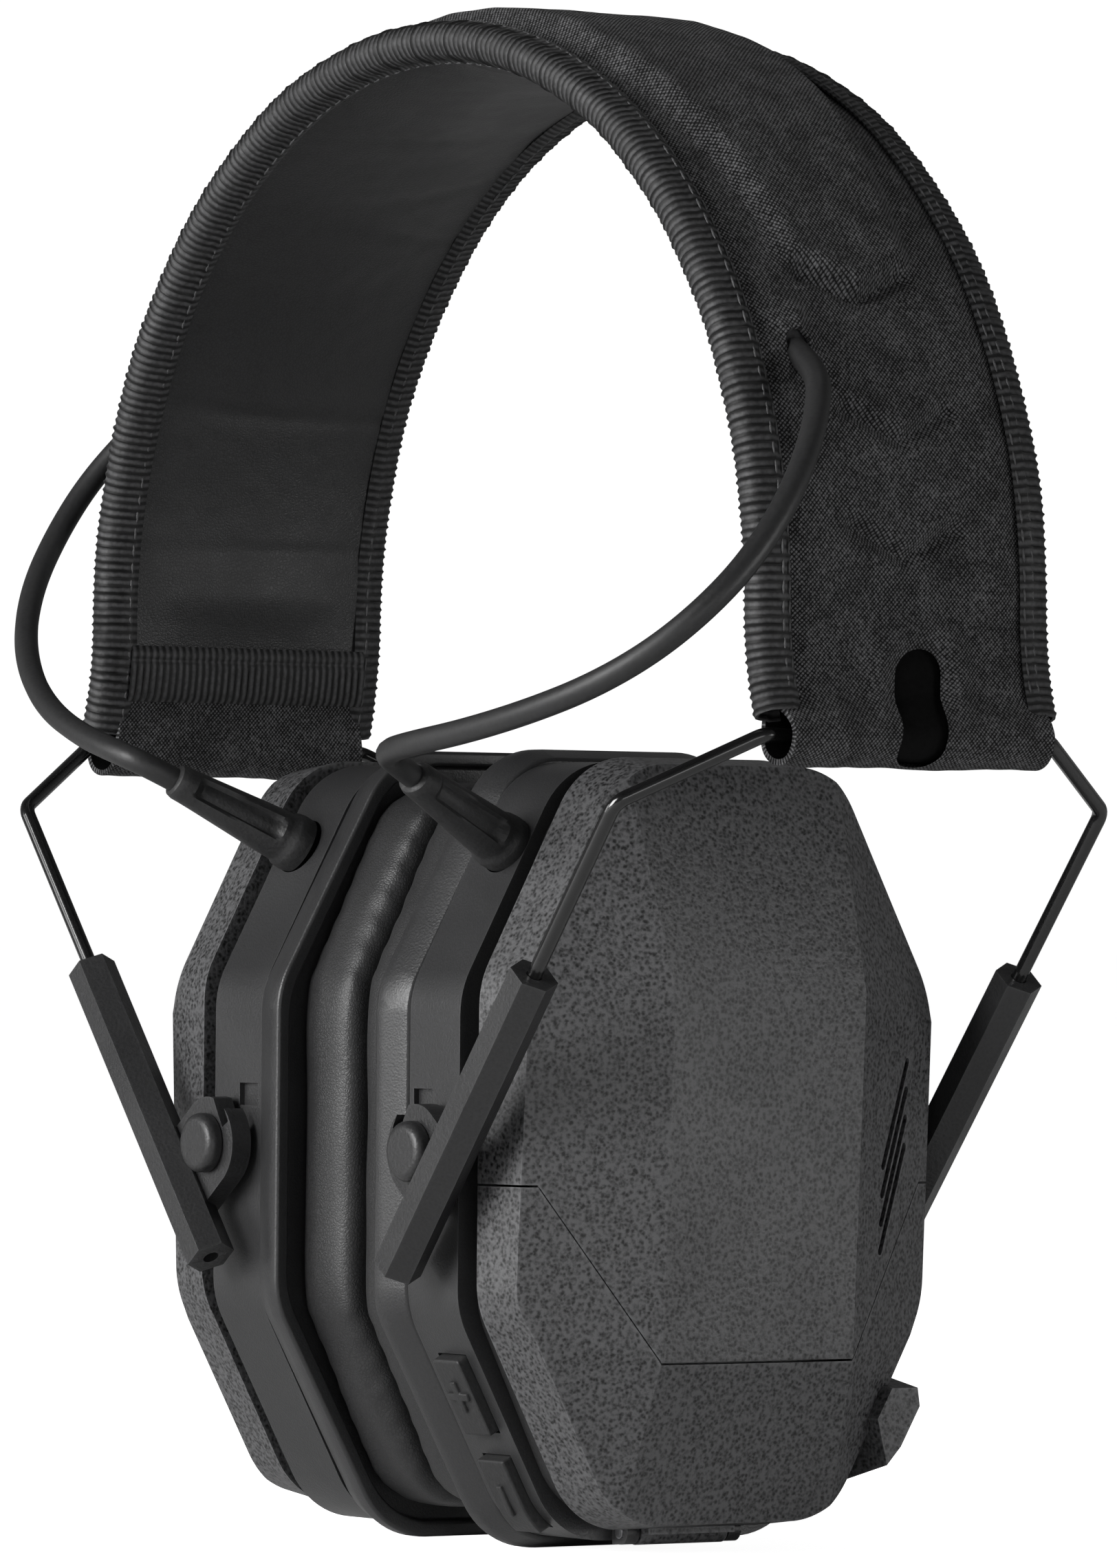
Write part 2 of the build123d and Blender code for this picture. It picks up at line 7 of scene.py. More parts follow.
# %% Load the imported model
from math import cos, pi, radians, sin
import bpy
import numpy as np
from mathutils import Matrix, Vector, noise
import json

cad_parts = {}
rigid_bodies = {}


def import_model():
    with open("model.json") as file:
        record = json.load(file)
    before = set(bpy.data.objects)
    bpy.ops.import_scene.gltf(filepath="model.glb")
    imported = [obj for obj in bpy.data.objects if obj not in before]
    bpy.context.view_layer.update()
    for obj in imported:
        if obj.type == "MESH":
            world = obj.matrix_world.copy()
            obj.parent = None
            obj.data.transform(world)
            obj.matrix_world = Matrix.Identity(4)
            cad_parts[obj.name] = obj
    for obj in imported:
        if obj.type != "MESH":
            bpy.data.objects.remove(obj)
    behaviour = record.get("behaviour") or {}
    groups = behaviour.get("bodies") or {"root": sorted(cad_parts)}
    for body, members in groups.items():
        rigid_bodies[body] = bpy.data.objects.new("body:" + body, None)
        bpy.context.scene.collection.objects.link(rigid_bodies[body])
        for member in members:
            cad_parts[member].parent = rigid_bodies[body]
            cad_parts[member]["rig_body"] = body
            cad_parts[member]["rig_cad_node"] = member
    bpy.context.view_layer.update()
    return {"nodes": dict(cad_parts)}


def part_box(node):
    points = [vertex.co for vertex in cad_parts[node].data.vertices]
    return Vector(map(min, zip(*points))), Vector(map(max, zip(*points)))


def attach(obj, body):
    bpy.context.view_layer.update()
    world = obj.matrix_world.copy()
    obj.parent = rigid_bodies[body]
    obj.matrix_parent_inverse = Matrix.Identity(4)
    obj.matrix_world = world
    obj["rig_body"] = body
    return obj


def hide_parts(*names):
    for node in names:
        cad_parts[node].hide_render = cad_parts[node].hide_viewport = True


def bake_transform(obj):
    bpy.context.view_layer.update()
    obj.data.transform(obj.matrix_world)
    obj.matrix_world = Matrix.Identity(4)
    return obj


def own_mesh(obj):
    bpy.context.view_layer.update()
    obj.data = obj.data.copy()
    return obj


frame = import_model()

nodes = frame["nodes"]
SIDES = (("right", 1), ("left", -1))

# %% [markdown]
# ## The camera
# The view is a long lens from the wearer's right and a little behind, almost level, so upright edges stay
# upright. A camera looks along its own minus Z, so its matrix holds right, up and back as columns.

# %% Camera
RIGHT, UP, BACK = (0.58079, 0.81401, 0.00927), (0.0068, -0.01623, 0.99985), (0.81403, -0.58064, -0.01496)
SPOT = (1.059506, -0.754298, 0.082222)
lens = bpy.data.cameras.new("studio_camera")
lens.lens, lens.sensor_width, lens.clip_start, lens.clip_end = 221.63, 36.0, 0.05, 60.0
camera = bpy.data.objects.new("studio_camera", lens)
camera.matrix_world = Matrix([(RIGHT[i], UP[i], BACK[i], SPOT[i]) for i in range(3)] + [(0, 0, 0, 1)])
bpy.context.scene.collection.objects.link(camera)
bpy.context.scene.camera = camera
print("camera at", SPOT)

# %% [markdown]
# ## Small helpers
# Every operator acts on what is selected, so each piece starts with nothing selected. Vertices are read and
# written as one table, which is quick enough to shape cloth by a formula.


# %% Helpers for meshes
def only(*objs):
    """Leaves just these objects selected, the last one active."""
    if bpy.context.object and bpy.context.object.mode != "OBJECT":
        bpy.ops.object.mode_set(mode="OBJECT")
    bpy.ops.object.select_all(action="DESELECT")
    for o in objs:
        o.select_set(True)
        bpy.context.view_layer.objects.active = o


def table(o):
    co = np.empty(len(o.data.vertices) * 3)
    o.data.vertices.foreach_get("co", co)
    return co.reshape(-1, 3)


def write(o, co):
    o.data.vertices.foreach_set("co", np.ascontiguousarray(co, dtype=np.float64).ravel())
    o.data.update()


def apply_all(o):
    only(o)
    for m in list(o.modifiers):
        bpy.ops.object.modifier_apply(modifier=m.name)


def outward(o):
    only(o)
    bpy.ops.object.mode_set(mode="EDIT")
    bpy.ops.mesh.select_all(action="SELECT")
    bpy.ops.mesh.normals_make_consistent(inside=False)
    bpy.ops.object.mode_set(mode="OBJECT")


def bumps(co, size, seed):
    """Soft random heights from -1 to 1, about size across."""
    shift = Vector((seed * 7.31, seed * 3.17, seed * 1.93))
    return np.array([noise.noise(Vector(p) / size + shift) for p in co])


def smooth(x, a, b):
    t = np.clip((x - a) / (b - a), 0, 1)
    return t * t * (3 - 2 * t)


def piece(o, body, replaced=(), angle=40):
    only(o)
    bpy.ops.object.shade_smooth_by_angle(angle=radians(angle))
    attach(o, body)
    if replaced:
        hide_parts(*replaced)
    print(o.name, "rides", body, "faces", len(o.data.polygons))
    return o


# %% [markdown]
# ## Cords
# Each cup's cord leaves its strain relief, bows out in the air and goes into a hole in the headband. It is
# stiff enough to hold that bow. The route is one smooth NURBS curve. The upper end is sewn into the band,
# the middle passes along the yoke and the lower end is in the cup, so the tube is parted into three
# stretches where those bodies meet. The middle stretch rides on the yoke; the other two stay as laid.

# %% Cord routes
CORD_R = 0.00165
ROUTES = {
    "right": [(28.3, -42, 101.8), (29.31, -46.39, 103.96), (33, -49.3, 104.9), (40, -50.8, 105.7), (53, -51, 107.2),
              (66.5, -50.5, 109.6), (77, -48.5, 112.6), (84, -44.5, 116.8), (88, -39.5, 122), (89.2, -33.5, 128),
              (88.6, -27.7, 134.8), (86.4, -22.5, 141.5), (82.6, -17.6, 148.2), (77.6, -13.8, 153.6),
              (70.68, -12.5, 156.71)],
    "left": [(-28.3, -42, 101.8), (-29.31, -46.39, 103.96), (-34, -47.8, 105.6), (-43, -47.4, 107.8),
             (-54, -45.6, 111.4), (-64, -42.4, 116.4), (-72.5, -38, 122.4), (-78.5, -32.8, 129.4),
             (-82, -26.8, 136.8), (-83.2, -21, 144), (-81, -16, 150.4), (-76.8, -13.2, 154.6),
             (-70.68, -12.5, 156.71)],
}
BOOT_FOOT, BOOT_TIP = Vector((0.0242, -0.02412, 0.093)), Vector((0.0283, -0.042, 0.1018))


def route_object(name, points):
    curve = bpy.data.curves.new(name, "CURVE")
    curve.dimensions = "3D"
    spline = curve.splines.new("NURBS")
    spline.points.add(len(points) - 1)
    for knot, p in zip(spline.points, points):
        knot.co = (p[0] / 1000, p[1] / 1000, p[2] / 1000, 1)
    spline.order_u, spline.use_endpoint_u = 3, True
    curve.resolution_u = 14
    o = bpy.data.objects.new(name, curve)
    bpy.context.scene.collection.objects.link(o)
    bpy.context.view_layer.update()
    return o


def centreline(route):
    line = bpy.data.meshes.new_from_object(route)
    points = [v.co.copy() for v in line.vertices]
    bpy.data.meshes.remove(line)
    return points


def run(points):
    return sum((b - a).length for a, b in zip(points, points[1:]))


# %% Strain reliefs
# The boot is turned along Z from rings, then two long thumb recesses are pushed into its sides, and it is
# squeezed a little so that its section is oval.
BOOT_RINGS = [(0.0, 4.35), (1.4, 4.5), (2.4, 4.35), (2.9, 3.95), (6.0, 3.75), (11.0, 3.35), (16.0, 2.95),
              (18.2, 2.8), (19.4, 2.75), (20.1, 2.5), (20.35, 2.1)]


def strain_relief(side, k):
    foot, tip = (Vector((p.x * k, p.y, p.z)) for p in (BOOT_FOOT, BOOT_TIP))
    bpy.ops.object.select_all(action="DESELECT")
    bpy.ops.mesh.primitive_circle_add(vertices=48, radius=BOOT_RINGS[0][1] / 1000, fill_type="NGON")
    boot = bpy.context.object
    boot.name = f"strain_relief_{side}"
    bpy.ops.object.mode_set(mode="EDIT")
    bpy.ops.mesh.select_all(action="SELECT")
    for (z0, r0), (z1, r1) in zip(BOOT_RINGS, BOOT_RINGS[1:]):
        steps = max(1, round((z1 - z0) / 0.6))
        for i in range(steps):
            a, b = r0 + (r1 - r0) * i / steps, r0 + (r1 - r0) * (i + 1) / steps
            bpy.ops.mesh.extrude_region_move(TRANSFORM_OT_translate={"value": (0, 0, (z1 - z0) / steps / 1000)})
            bpy.ops.transform.resize(value=(b / a, b / a, 1))
    bpy.ops.mesh.inset(thickness=0.0004)
    bpy.ops.object.mode_set(mode="OBJECT")
    co = table(boot)
    along = smooth(co[:, 2], 0.0042, 0.0052) * (1 - smooth(co[:, 2], 0.0165, 0.0178))
    across = 1 - smooth(np.abs(co[:, 1]), 0.0012, 0.0019)
    co[:, 0] -= np.sign(co[:, 0]) * 0.0009 * along * across
    co[:, 1] *= 0.88
    write(boot, co)
    along = (tip - foot).normalized()
    thumb = Vector((k, 0, 0))
    thumb = (thumb - along * thumb.dot(along)).normalized()
    flat = along.cross(thumb)
    boot.data.transform(Matrix([(thumb[i], flat[i], along[i], foot[i]) for i in range(3)] + [(0, 0, 0, 1)]))
    outward(boot)
    return piece(boot, f"cup_{side}", [f"cord_boot_{side}"], 35)


boots = {side: strain_relief(side, k) for side, k in SIDES}


# %% Cord tubes
def cord_tube(side):
    route = route_object(f"route_{side}", ROUTES[side])
    line = centreline(route)
    route.data.bevel_depth, route.data.bevel_resolution = CORD_R, 5
    only(route)
    bpy.ops.object.convert(target="MESH")
    return bpy.context.object, line


def stretch(tube, line, first, last, name):
    """A copy of the tube between two points of its centre line, closed at both ends."""
    ring = len(tube.data.vertices) // len(line)
    part = tube.copy()
    part.data = tube.data.copy()
    part.name = name
    bpy.context.scene.collection.objects.link(part)
    only(part)
    for i, v in enumerate(part.data.vertices):
        v.select = not first <= i // ring <= last
    bpy.ops.object.mode_set(mode="EDIT")
    bpy.ops.mesh.select_mode(type="VERT")
    bpy.ops.mesh.delete(type="VERT")
    bpy.ops.mesh.select_all(action="SELECT")
    bpy.ops.mesh.fill_holes(sides=0)
    bpy.ops.object.mode_set(mode="OBJECT")
    outward(part)
    return part


def nearest(line, p):
    return min(range(len(line)), key=lambda i: (line[i] - Vector(p) / 1000).length)


for side, k in SIDES:
    tube, line = cord_tube(side)
    low = nearest(line, (55, -50.8, 107.5) if k > 0 else (-58.5, -44, 113.5))
    high = nearest(line, (84 * k, -44.5, 116.8) if k > 0 else (-80.4, -30, 133))
    top, join, end = line[high:], line[low:high + 1], line[:low + 1]
    print(f"cord {side}: {run(line):.4f} m, stretches", [round(run(s), 4) for s in (top, join, end)])
    upper = stretch(tube, line, high, len(line), f"cord_upper_{side}")
    middle = stretch(tube, line, low, high, f"cord_middle_{side}")
    lower = stretch(tube, line, 0, low, f"cord_lower_{side}")
    bpy.data.objects.remove(tube)
    for part in (upper, middle, lower):
        only(part)
        bpy.ops.object.shade_smooth_by_angle(angle=radians(50))
        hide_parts(f"cord_{side}")
    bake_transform(upper)
    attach(middle, f"yoke_{side}")
    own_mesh(middle)
    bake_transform(lower)

# %% [markdown]
# ## Cutting table for the headband
# The headband is sewn from flat strips, so each strip is made flat first: x runs along the band from the
# top, y across it and z through its thickness. One function then lays the strip on the band's line, a half
# circle over the head and a short leg that flares out at each side. The flat x and y are kept as the UV
# map, so the knit and the grain follow the cloth.

# %% The band's line
ARCH_R, ARCH_Z, FLARE_R = 0.0763, 0.1242, 0.0466
QUARTER = ARCH_R * pi / 2
HEM_START = 0.1325
WIRE = (0.079, 0.107)
HEM_R = 0.0040


def on_line(x, out):
    """Half a band: x along it from the top, out away from the head. Gives X and Z on the right side."""
    a = pi / 2 - np.minimum(x, QUARTER) / ARCH_R
    b = np.maximum(x - QUARTER, 0) / FLARE_R
    leg = x > QUARTER
    px = np.where(leg, ARCH_R + FLARE_R - (FLARE_R - out) * np.cos(b), (ARCH_R + out) * np.cos(a))
    pz = np.where(leg, ARCH_Z - (FLARE_R - out) * np.sin(b), ARCH_Z + (ARCH_R + out) * np.sin(a))
    return px, pz


def lay(o, turned=False):
    """Keeps the flat x and y as UVs, or y and x if turned, and lays the strip on the band.

    Flat z becomes the height above the band's middle line.
    """
    flat = table(o)
    mesh = o.data
    uv = mesh.uv_layers.active or mesh.uv_layers.new(name="flat")
    corner = np.empty(len(mesh.loops), dtype=np.int32)
    mesh.loops.foreach_get("vertex_index", corner)
    uv.data.foreach_set("uv", (flat[corner][:, 1::-1] if turned else flat[corner][:, :2]).ravel())
    px, pz = on_line(np.abs(flat[:, 0]), flat[:, 2])
    write(o, np.stack([np.copysign(px, flat[:, 0]), flat[:, 1], pz], axis=1))
    outward(o)


def strip(name, half_length, half_width, nx, ny):
    bpy.ops.object.select_all(action="DESELECT")
    bpy.ops.mesh.primitive_grid_add(x_subdivisions=nx, y_subdivisions=ny, size=2)
    o = bpy.context.object
    o.name = name
    bpy.ops.transform.resize(value=(half_length, half_width, 1))
    bpy.ops.object.transform_apply(location=True, rotation=True, scale=True)
    return o


def thicken(o, thickness, offset=-1):
    m = o.modifiers.new("thickness", "SOLIDIFY")
    m.thickness, m.offset, m.use_even_offset = thickness, offset, False
    apply_all(o)


print("quarter of the arch", round(QUARTER, 4))

# %% [markdown]
# ## Knitted cover
# One stretch-knit sheet runs over the whole band, down round each yoke wire and up the inside, where it is
# sewn under the hem tape. A raised pad sits under it at the crown, ending in a chevron, with two more
# chevrons pressed below. Each side has an oval slot above the hem and a hole where a cord goes in.

# %% Cover: heights and slots
COVER_OUT, COVER_EDGE = 0.0022, 0.0213
CLOTH = 0.0008
PAD_RISE, PAD_END = 0.0030, 0.0785
CHEVRONS = ((0.0990, 0.0013), (0.1142, 0.0002))
HOLE_X, HOLE_Y, HOLE_SIZE = 0.0868, -0.0125, (0.0042, 0.0038, 0.004)
SLOT_Y, SLOT_HALF, SLOT_X = 0.0022, 0.0037, (0.1258, 0.1434)
SLOT_LEAN = 0.19


def vee(x, y, tip, half=0.0092):
    """Distance from a chevron's line, with its tip away from the crown and short level ends."""
    return x - (tip - 0.0038 * np.minimum(np.abs(y) / (half * 0.82), 1))


def cover_height(x, y):
    x = np.abs(x)
    edge = 0.0011 * smooth(np.abs(y), 0.0150, COVER_EDGE)
    half = 0.0150 - 0.0052 * smooth(x, 0.030, PAD_END)
    inside = (1 - smooth(np.abs(y), half - 0.0022, half + 0.0018)) * (1 - smooth(vee(x, y, PAD_END), -0.0022, 0.0012))
    rise = PAD_RISE * (1 - 0.45 * smooth(x, 0.035, PAD_END))
    crown = 1 - 0.12 * (y / 0.015) ** 2
    out = COVER_OUT - edge + rise * inside * crown
    for tip, shift in ((PAD_END + 0.0012, 0.0),) + CHEVRONS:
        along = 1 - smooth(np.abs(y - shift), 0.0082, 0.0100)
        d = vee(x, y - shift, tip)
        out -= 0.0012 * along * np.exp(-(d / 0.0012) ** 2)
        out += 0.0004 * along * np.exp(-((d + 0.0024) / 0.0016) ** 2)
    middle = SLOT_Y - SLOT_LEAN * (x - SLOT_X[0])
    rim = np.hypot(np.maximum(SLOT_X[0] + SLOT_HALF - x, 0), y - middle) - SLOT_HALF
    out += 0.0006 * np.exp(-((rim - 0.0030) / 0.0016) ** 2) - 0.0005 * np.exp(-(rim / 0.0011) ** 2)
    near = np.hypot(x - HOLE_X, y - HOLE_Y)
    around = np.arctan2(y - HOLE_Y, x - HOLE_X)
    out += 0.0013 * np.exp(-(np.hypot(x - HOLE_X + 0.0030, (y - HOLE_Y) * 1.15) / 0.0033) ** 2)
    out += 0.00022 * np.sin(7 * around) * np.exp(-((near - 0.0042) / 0.0028) ** 2)
    return out


def hem_line():
    """X and Z of the cover's outer face from the leg's end, round the wire and up the inside."""
    start = on_line(np.array([HEM_START]), np.array([COVER_OUT]))
    inner = [on_line(np.array([QUARTER + FLARE_R * radians(b)]), np.array([-0.0023])) for b in (13.0, 10.5, 8.0)]
    lean = radians(15.6)
    turn = [(WIRE[0] + HEM_R * cos(t), WIRE[1] + HEM_R * sin(t)) for t in np.linspace(lean, lean - pi * 1.02, 22)]
    points = [(float(start[0][0]), float(start[1][0]))] + turn + [(float(p[0][0]), float(p[1][0])) for p in inner]
    points = np.array(points)
    gone = np.concatenate([[0], np.cumsum(np.hypot(*np.diff(points, axis=0).T))])
    fine = np.linspace(0, gone[-1], 120)
    line = np.stack([np.interp(fine, gone, points[:, i]) for i in (0, 1)], axis=1)
    for _ in range(6):
        line[1:-1] = (line[:-2] + line[1:-1] * 2 + line[2:]) / 4
    return fine, line


hem_at, hem_points = hem_line()
HEM_LENGTH = float(hem_at[-1])
print("hem wraps", round(HEM_LENGTH, 4), "m of cloth")


# %% Cover: cut, shape and lay
def cutter(size, place, round_by):
    bpy.ops.object.select_all(action="DESELECT")
    bpy.ops.mesh.primitive_cube_add(size=1, location=place, scale=size)
    bpy.ops.object.transform_apply(location=False, rotation=False, scale=True)
    bpy.ops.object.mode_set(mode="EDIT")
    bpy.ops.mesh.select_all(action="DESELECT")
    bpy.ops.object.mode_set(mode="OBJECT")
    o = bpy.context.object
    for e in o.data.edges:
        a, b = (o.data.vertices[i].co for i in e.vertices)
        e.select = abs(a.z - b.z) > size[2] * 0.9
    bpy.ops.object.mode_set(mode="EDIT")
    bpy.ops.mesh.select_mode(type="EDGE")
    bpy.ops.mesh.bevel(offset=round_by, segments=10, affect="EDGES")
    bpy.ops.object.mode_set(mode="OBJECT")
    bpy.ops.object.transform_apply(location=True, rotation=False, scale=False)
    return o


cover = strip("knit_cover", HEM_START + HEM_LENGTH, COVER_EDGE, 640, 58)
thicken(cover, CLOTH)
slots = []
for side, k in SIDES:
    size = (SLOT_X[1] - SLOT_X[0], 2 * SLOT_HALF, 0.004)
    slot = cutter(size, (k * sum(SLOT_X) / 2, SLOT_Y, 0), SLOT_HALF * 0.98)
    lean = table(slot)
    lean[:, 1] -= SLOT_LEAN * (np.abs(lean[:, 0]) - SLOT_X[0])
    write(slot, lean)
    slots.append(slot)
    slots.append(cutter(HOLE_SIZE, (k * HOLE_X, HOLE_Y, 0), 0.0018))
for tool in slots:
    cut = cover.modifiers.new("slot", "BOOLEAN")
    cut.object, cut.operation, cut.solver = tool, "DIFFERENCE", "EXACT"
apply_all(cover)
for tool in slots:
    bpy.data.objects.remove(tool)

co = table(cover)
x, y, depth = co[:, 0], co[:, 1], co[:, 2]
ripple = 0.00018 * bumps(co * (1, 1, 0), 0.009, 1) + 0.0001 * bumps(co * (1, 1, 0), 0.0035, 2)
height = cover_height(x, y) + ripple
gone = np.maximum(np.abs(x) - HEM_START, 0)
on_hem = gone > 0
px, pz = on_line(np.minimum(np.abs(x), HEM_START), height + depth)
slope = np.gradient(hem_points, hem_at, axis=0)
slope /= np.linalg.norm(slope, axis=1)[:, None]
hx, hz = (np.interp(gone, hem_at, hem_points[:, i]) for i in (0, 1))
sx, sz = (np.interp(gone, hem_at, slope[:, i]) for i in (0, 1))
fade = 1 - smooth(gone, 0.0, 0.004)
lift = depth + ripple * 1.6 + (height - ripple - COVER_OUT) * fade
full_width = 0.0208 - 0.0010 * smooth(gone, HEM_LENGTH * 0.5, HEM_LENGTH)
px = np.where(on_hem, hx - sz * lift, px)
pz = np.where(on_hem, hz + sx * lift, pz)
py = np.where(on_hem, y / COVER_EDGE * (COVER_EDGE + (full_width - COVER_EDGE) * smooth(gone, 0, 0.005)), y)
mesh = cover.data
inner_side = [float(depth[list(p.vertices)].mean()) < -CLOTH * 0.9 for p in mesh.polygons]
mesh.polygons.foreach_set("material_index", [int(i) for i in inner_side])
uv = mesh.uv_layers.active or mesh.uv_layers.new(name="flat")
corner = np.empty(len(mesh.loops), dtype=np.int32)
mesh.loops.foreach_get("vertex_index", corner)
uv.data.foreach_set("uv", co[corner][:, :2].ravel())
write(cover, np.stack([np.copysign(px, x), py, pz], axis=1))
outward(cover)
piece(cover, "headband", ["headband_cover", "headband_crown_pad", "hem_loop_right", "hem_loop_left"], 50)

# %% [markdown]
# ## Foam core and leatherette pad
# The foam is what gives the band its body, and is hidden between the cover and the pad. The pad lies on the
# head, so it is thicker in the middle, pinched flat at its sewn edges, and creased where it has been bent.

# %% Foam core
core = strip("foam_core", 0.1225, 0.0200, 160, 16)
thicken(core, 0.001)
co = table(core)
side_fade = 1 - smooth(np.abs(co[:, 1]), 0.0165, 0.0200)
top = np.minimum(cover_height(co[:, 0], co[:, 1]) - CLOTH - 0.0003, 0.0040) * side_fade
co[:, 2] = np.where(co[:, 2] > -0.0005, top, -0.0005 - 0.0001 * side_fade)
write(core, co)
lay(core)
piece(core, "headband", ["headband_foam"], 50)

# %% Leatherette pad
PAD_HALF, PAD_Y = 0.1235, 0.0203
pad = strip("leatherette_pad", PAD_HALF, PAD_Y, 420, 60)
thicken(pad, 0.001)
co = table(pad)
x, y = co[:, 0], co[:, 1]
flat = co * (1, 1, 0)
pinch = (1 - (y / PAD_Y) ** 2) * (1 - smooth(np.abs(x), PAD_HALF - 0.009, PAD_HALF))
crease = bumps(flat * (1, 0.35, 0), 0.011, 3)
fold = -np.exp(-(bumps(flat * (1, 0.25, 0), 0.017, 4) / 0.09) ** 2)
depth = 0.0019 + 0.0024 * pinch + (0.00030 * crease + 0.00026 * fold) * (0.35 + 0.65 * pinch)
depth += 0.00007 * bumps(flat, 0.0028, 5)
co[:, 2] = np.where(co[:, 2] > -0.0005, -0.0009, -depth)
write(pad, co)
lay(pad)
piece(pad, "headband", ["headband_inner_pad"], 60)


# %% [markdown]
# ## Edge bindings, hem tapes and stitches
# A ribbed tape is folded over each long edge and sewn through with two rows of thread. Its ribs run across
# the tape, 1.1 mm apart, so they show as fine teeth along the silhouette. A shorter tape of the same kind
# closes each hem on the inside.

# %% Bindings
TAPE = np.array([(18.5, 2.15), (19.2, 2.5), (20.6, 2.72), (22.0, 2.68), (23.2, 2.15), (23.95, 1.1), (24.15, 0.0),
                 (23.95, -1.1), (23.2, -2.15), (22.0, -2.75), (20.6, -2.9), (19.2, -2.75), (18.5, -2.4)]) / 1000
BAND_END = QUARTER + FLARE_R * radians(18.3)
RIB = 0.0011


def tape_at(v):
    gone = np.concatenate([[0], np.cumsum(np.hypot(*np.diff(TAPE, axis=0).T))])
    v = (v + 1) / 2 * gone[-1]
    return np.interp(v, gone, TAPE[:, 0]), np.interp(v, gone, TAPE[:, 1])


def binding(name, k):
    tape = strip(name, BAND_END, 1, 1400, 18)
    co = table(tape)
    x, v = co[:, 0], -co[:, 1]
    a, b = tape_at(v)
    a2, b2 = tape_at(np.clip(v + 0.04, -1, 1))
    a1, b1 = tape_at(np.clip(v - 0.04, -1, 1))
    na, nb = -(b2 - b1), a2 - a1
    size = np.hypot(na, nb)
    na, nb = na / size, nb / size
    path = np.stack([x, np.full_like(x, k * 0.02), np.zeros_like(x)], axis=1)
    ribs = np.sqrt(np.abs(np.sin(pi * x / RIB)))
    body = smooth(a, 0.0198, 0.0208)
    proud = 0.00038 * (ribs - 0.5) * (0.25 + 0.75 * body) + 0.00018 * body
    stitch_dip = np.exp(-((a - 0.0201) / 0.00035) ** 2)
    proud -= 0.00022 * stitch_dip
    wander = 0.00022 * bumps(path, 0.013, 11 + k)
    co[:, 1] = k * (a - na * proud + wander * smooth(a, 0.019, 0.023))
    co[:, 2] = b - nb * proud + 0.00018 * bumps(path, 0.018, 15 + k)
    write(tape, co)
    return tape


def sign_of_normals(tape, k):
    """The tape's face has to look away from the band before it gets its thickness."""
    mesh = tape.data
    wrong = sum(1 for p in mesh.polygons if p.normal.y * k < 0 and abs(p.center.y) > 0.0236)
    right = sum(1 for p in mesh.polygons if p.normal.y * k > 0 and abs(p.center.y) > 0.0236)
    if wrong > right:
        only(tape)
        bpy.ops.object.mode_set(mode="EDIT")
        bpy.ops.mesh.select_all(action="SELECT")
        bpy.ops.mesh.flip_normals()
        bpy.ops.object.mode_set(mode="OBJECT")


for name, k, node in (("binding_tape_front", 1, "binding_front"), ("binding_tape_rear", -1, "binding_rear")):
    tape = binding(name, k)
    sign_of_normals(tape, k)
    thicken(tape, 0.0004)
    lay(tape)
    piece(tape, "headband", [node], 60)


# %% Hem tapes
def hem_tape(side, k):
    first, last = QUARTER + FLARE_R * radians(3.6), QUARTER + FLARE_R * radians(12.4)
    tape = strip(f"hem_tape_strip_{side}", 1, 0.0196, 20, 216)
    co = table(tape)
    u, y = (co[:, 0] + 1) / 2, co[:, 1]
    ribs = np.sqrt(np.abs(np.sin(pi * y / RIB)))
    ribbed = smooth(u, 0.30, 0.38)
    proud = 0.0002 * (ribs - 0.4) * ribbed - 0.00025 * np.exp(-((u - 0.24) / 0.05) ** 2)
    round_off = 0.0005 * np.abs(2 * u - 1) ** 6
    co[:, 0] = k * (first + (last - first) * u)
    co[:, 2] = -0.0031 - proud + round_off + 0.00015 * bumps(co, 0.012, 20 + k)
    write(tape, co)
    thicken(tape, 0.0005, 0)
    lay(tape, turned=True)
    piece(tape, "headband", [f"hem_tape_{side}"], 60)


for side, k in SIDES:
    hem_tape(side, k)


# %% Stitches
def one_stitch(length, thick):
    bpy.ops.object.select_all(action="DESELECT")
    bpy.ops.mesh.primitive_uv_sphere_add(segments=8, ring_count=6, radius=0.5)
    o = bpy.context.object
    bpy.ops.transform.resize(value=(length, thick, thick))
    bpy.ops.object.transform_apply(location=True, rotation=True, scale=True)
    return o


def stitch_row(base, xs, y, z, lean=0.0):
    """Copies of one stitch along x, joined into one flat row."""
    seed = table(base)
    faces = [tuple(p.vertices) for p in base.data.polygons]
    turn = np.array([[cos(lean), -sin(lean)], [sin(lean), cos(lean)]])
    points, all_faces = [], []
    for n, x in enumerate(xs):
        co = seed.copy()
        co[:, :2] = co[:, :2] @ turn.T
        points.append(co + (x, y, z))
        all_faces += [tuple(i + n * len(seed) for i in f) for f in faces]
    return np.concatenate(points), all_faces


stitch = one_stitch(0.0019, 0.00034)
rows, faces, count = [], [], 0
xs = np.arange(-BAND_END + 0.003, BAND_END - 0.002, 0.0025)
for k in (1, -1):
    for y, z in ((0.0201, 0.0027), (0.0190, 0.00245), (0.0200, -0.0029)):
        co, found = stitch_row(stitch, xs, k * y, z, 0.06 * k)
        rows.append(co)
        faces += [tuple(i + count for i in f) for f in found]
        count += len(co)
bpy.data.objects.remove(stitch)
mesh = bpy.data.meshes.new("stitches_of_bindings")
mesh.from_pydata(np.concatenate(rows).tolist(), [], faces)
stitches = bpy.data.objects.new("stitches_of_bindings", mesh)
bpy.context.scene.collection.objects.link(stitches)
lay(stitches)
piece(stitches, "headband", (), 60)


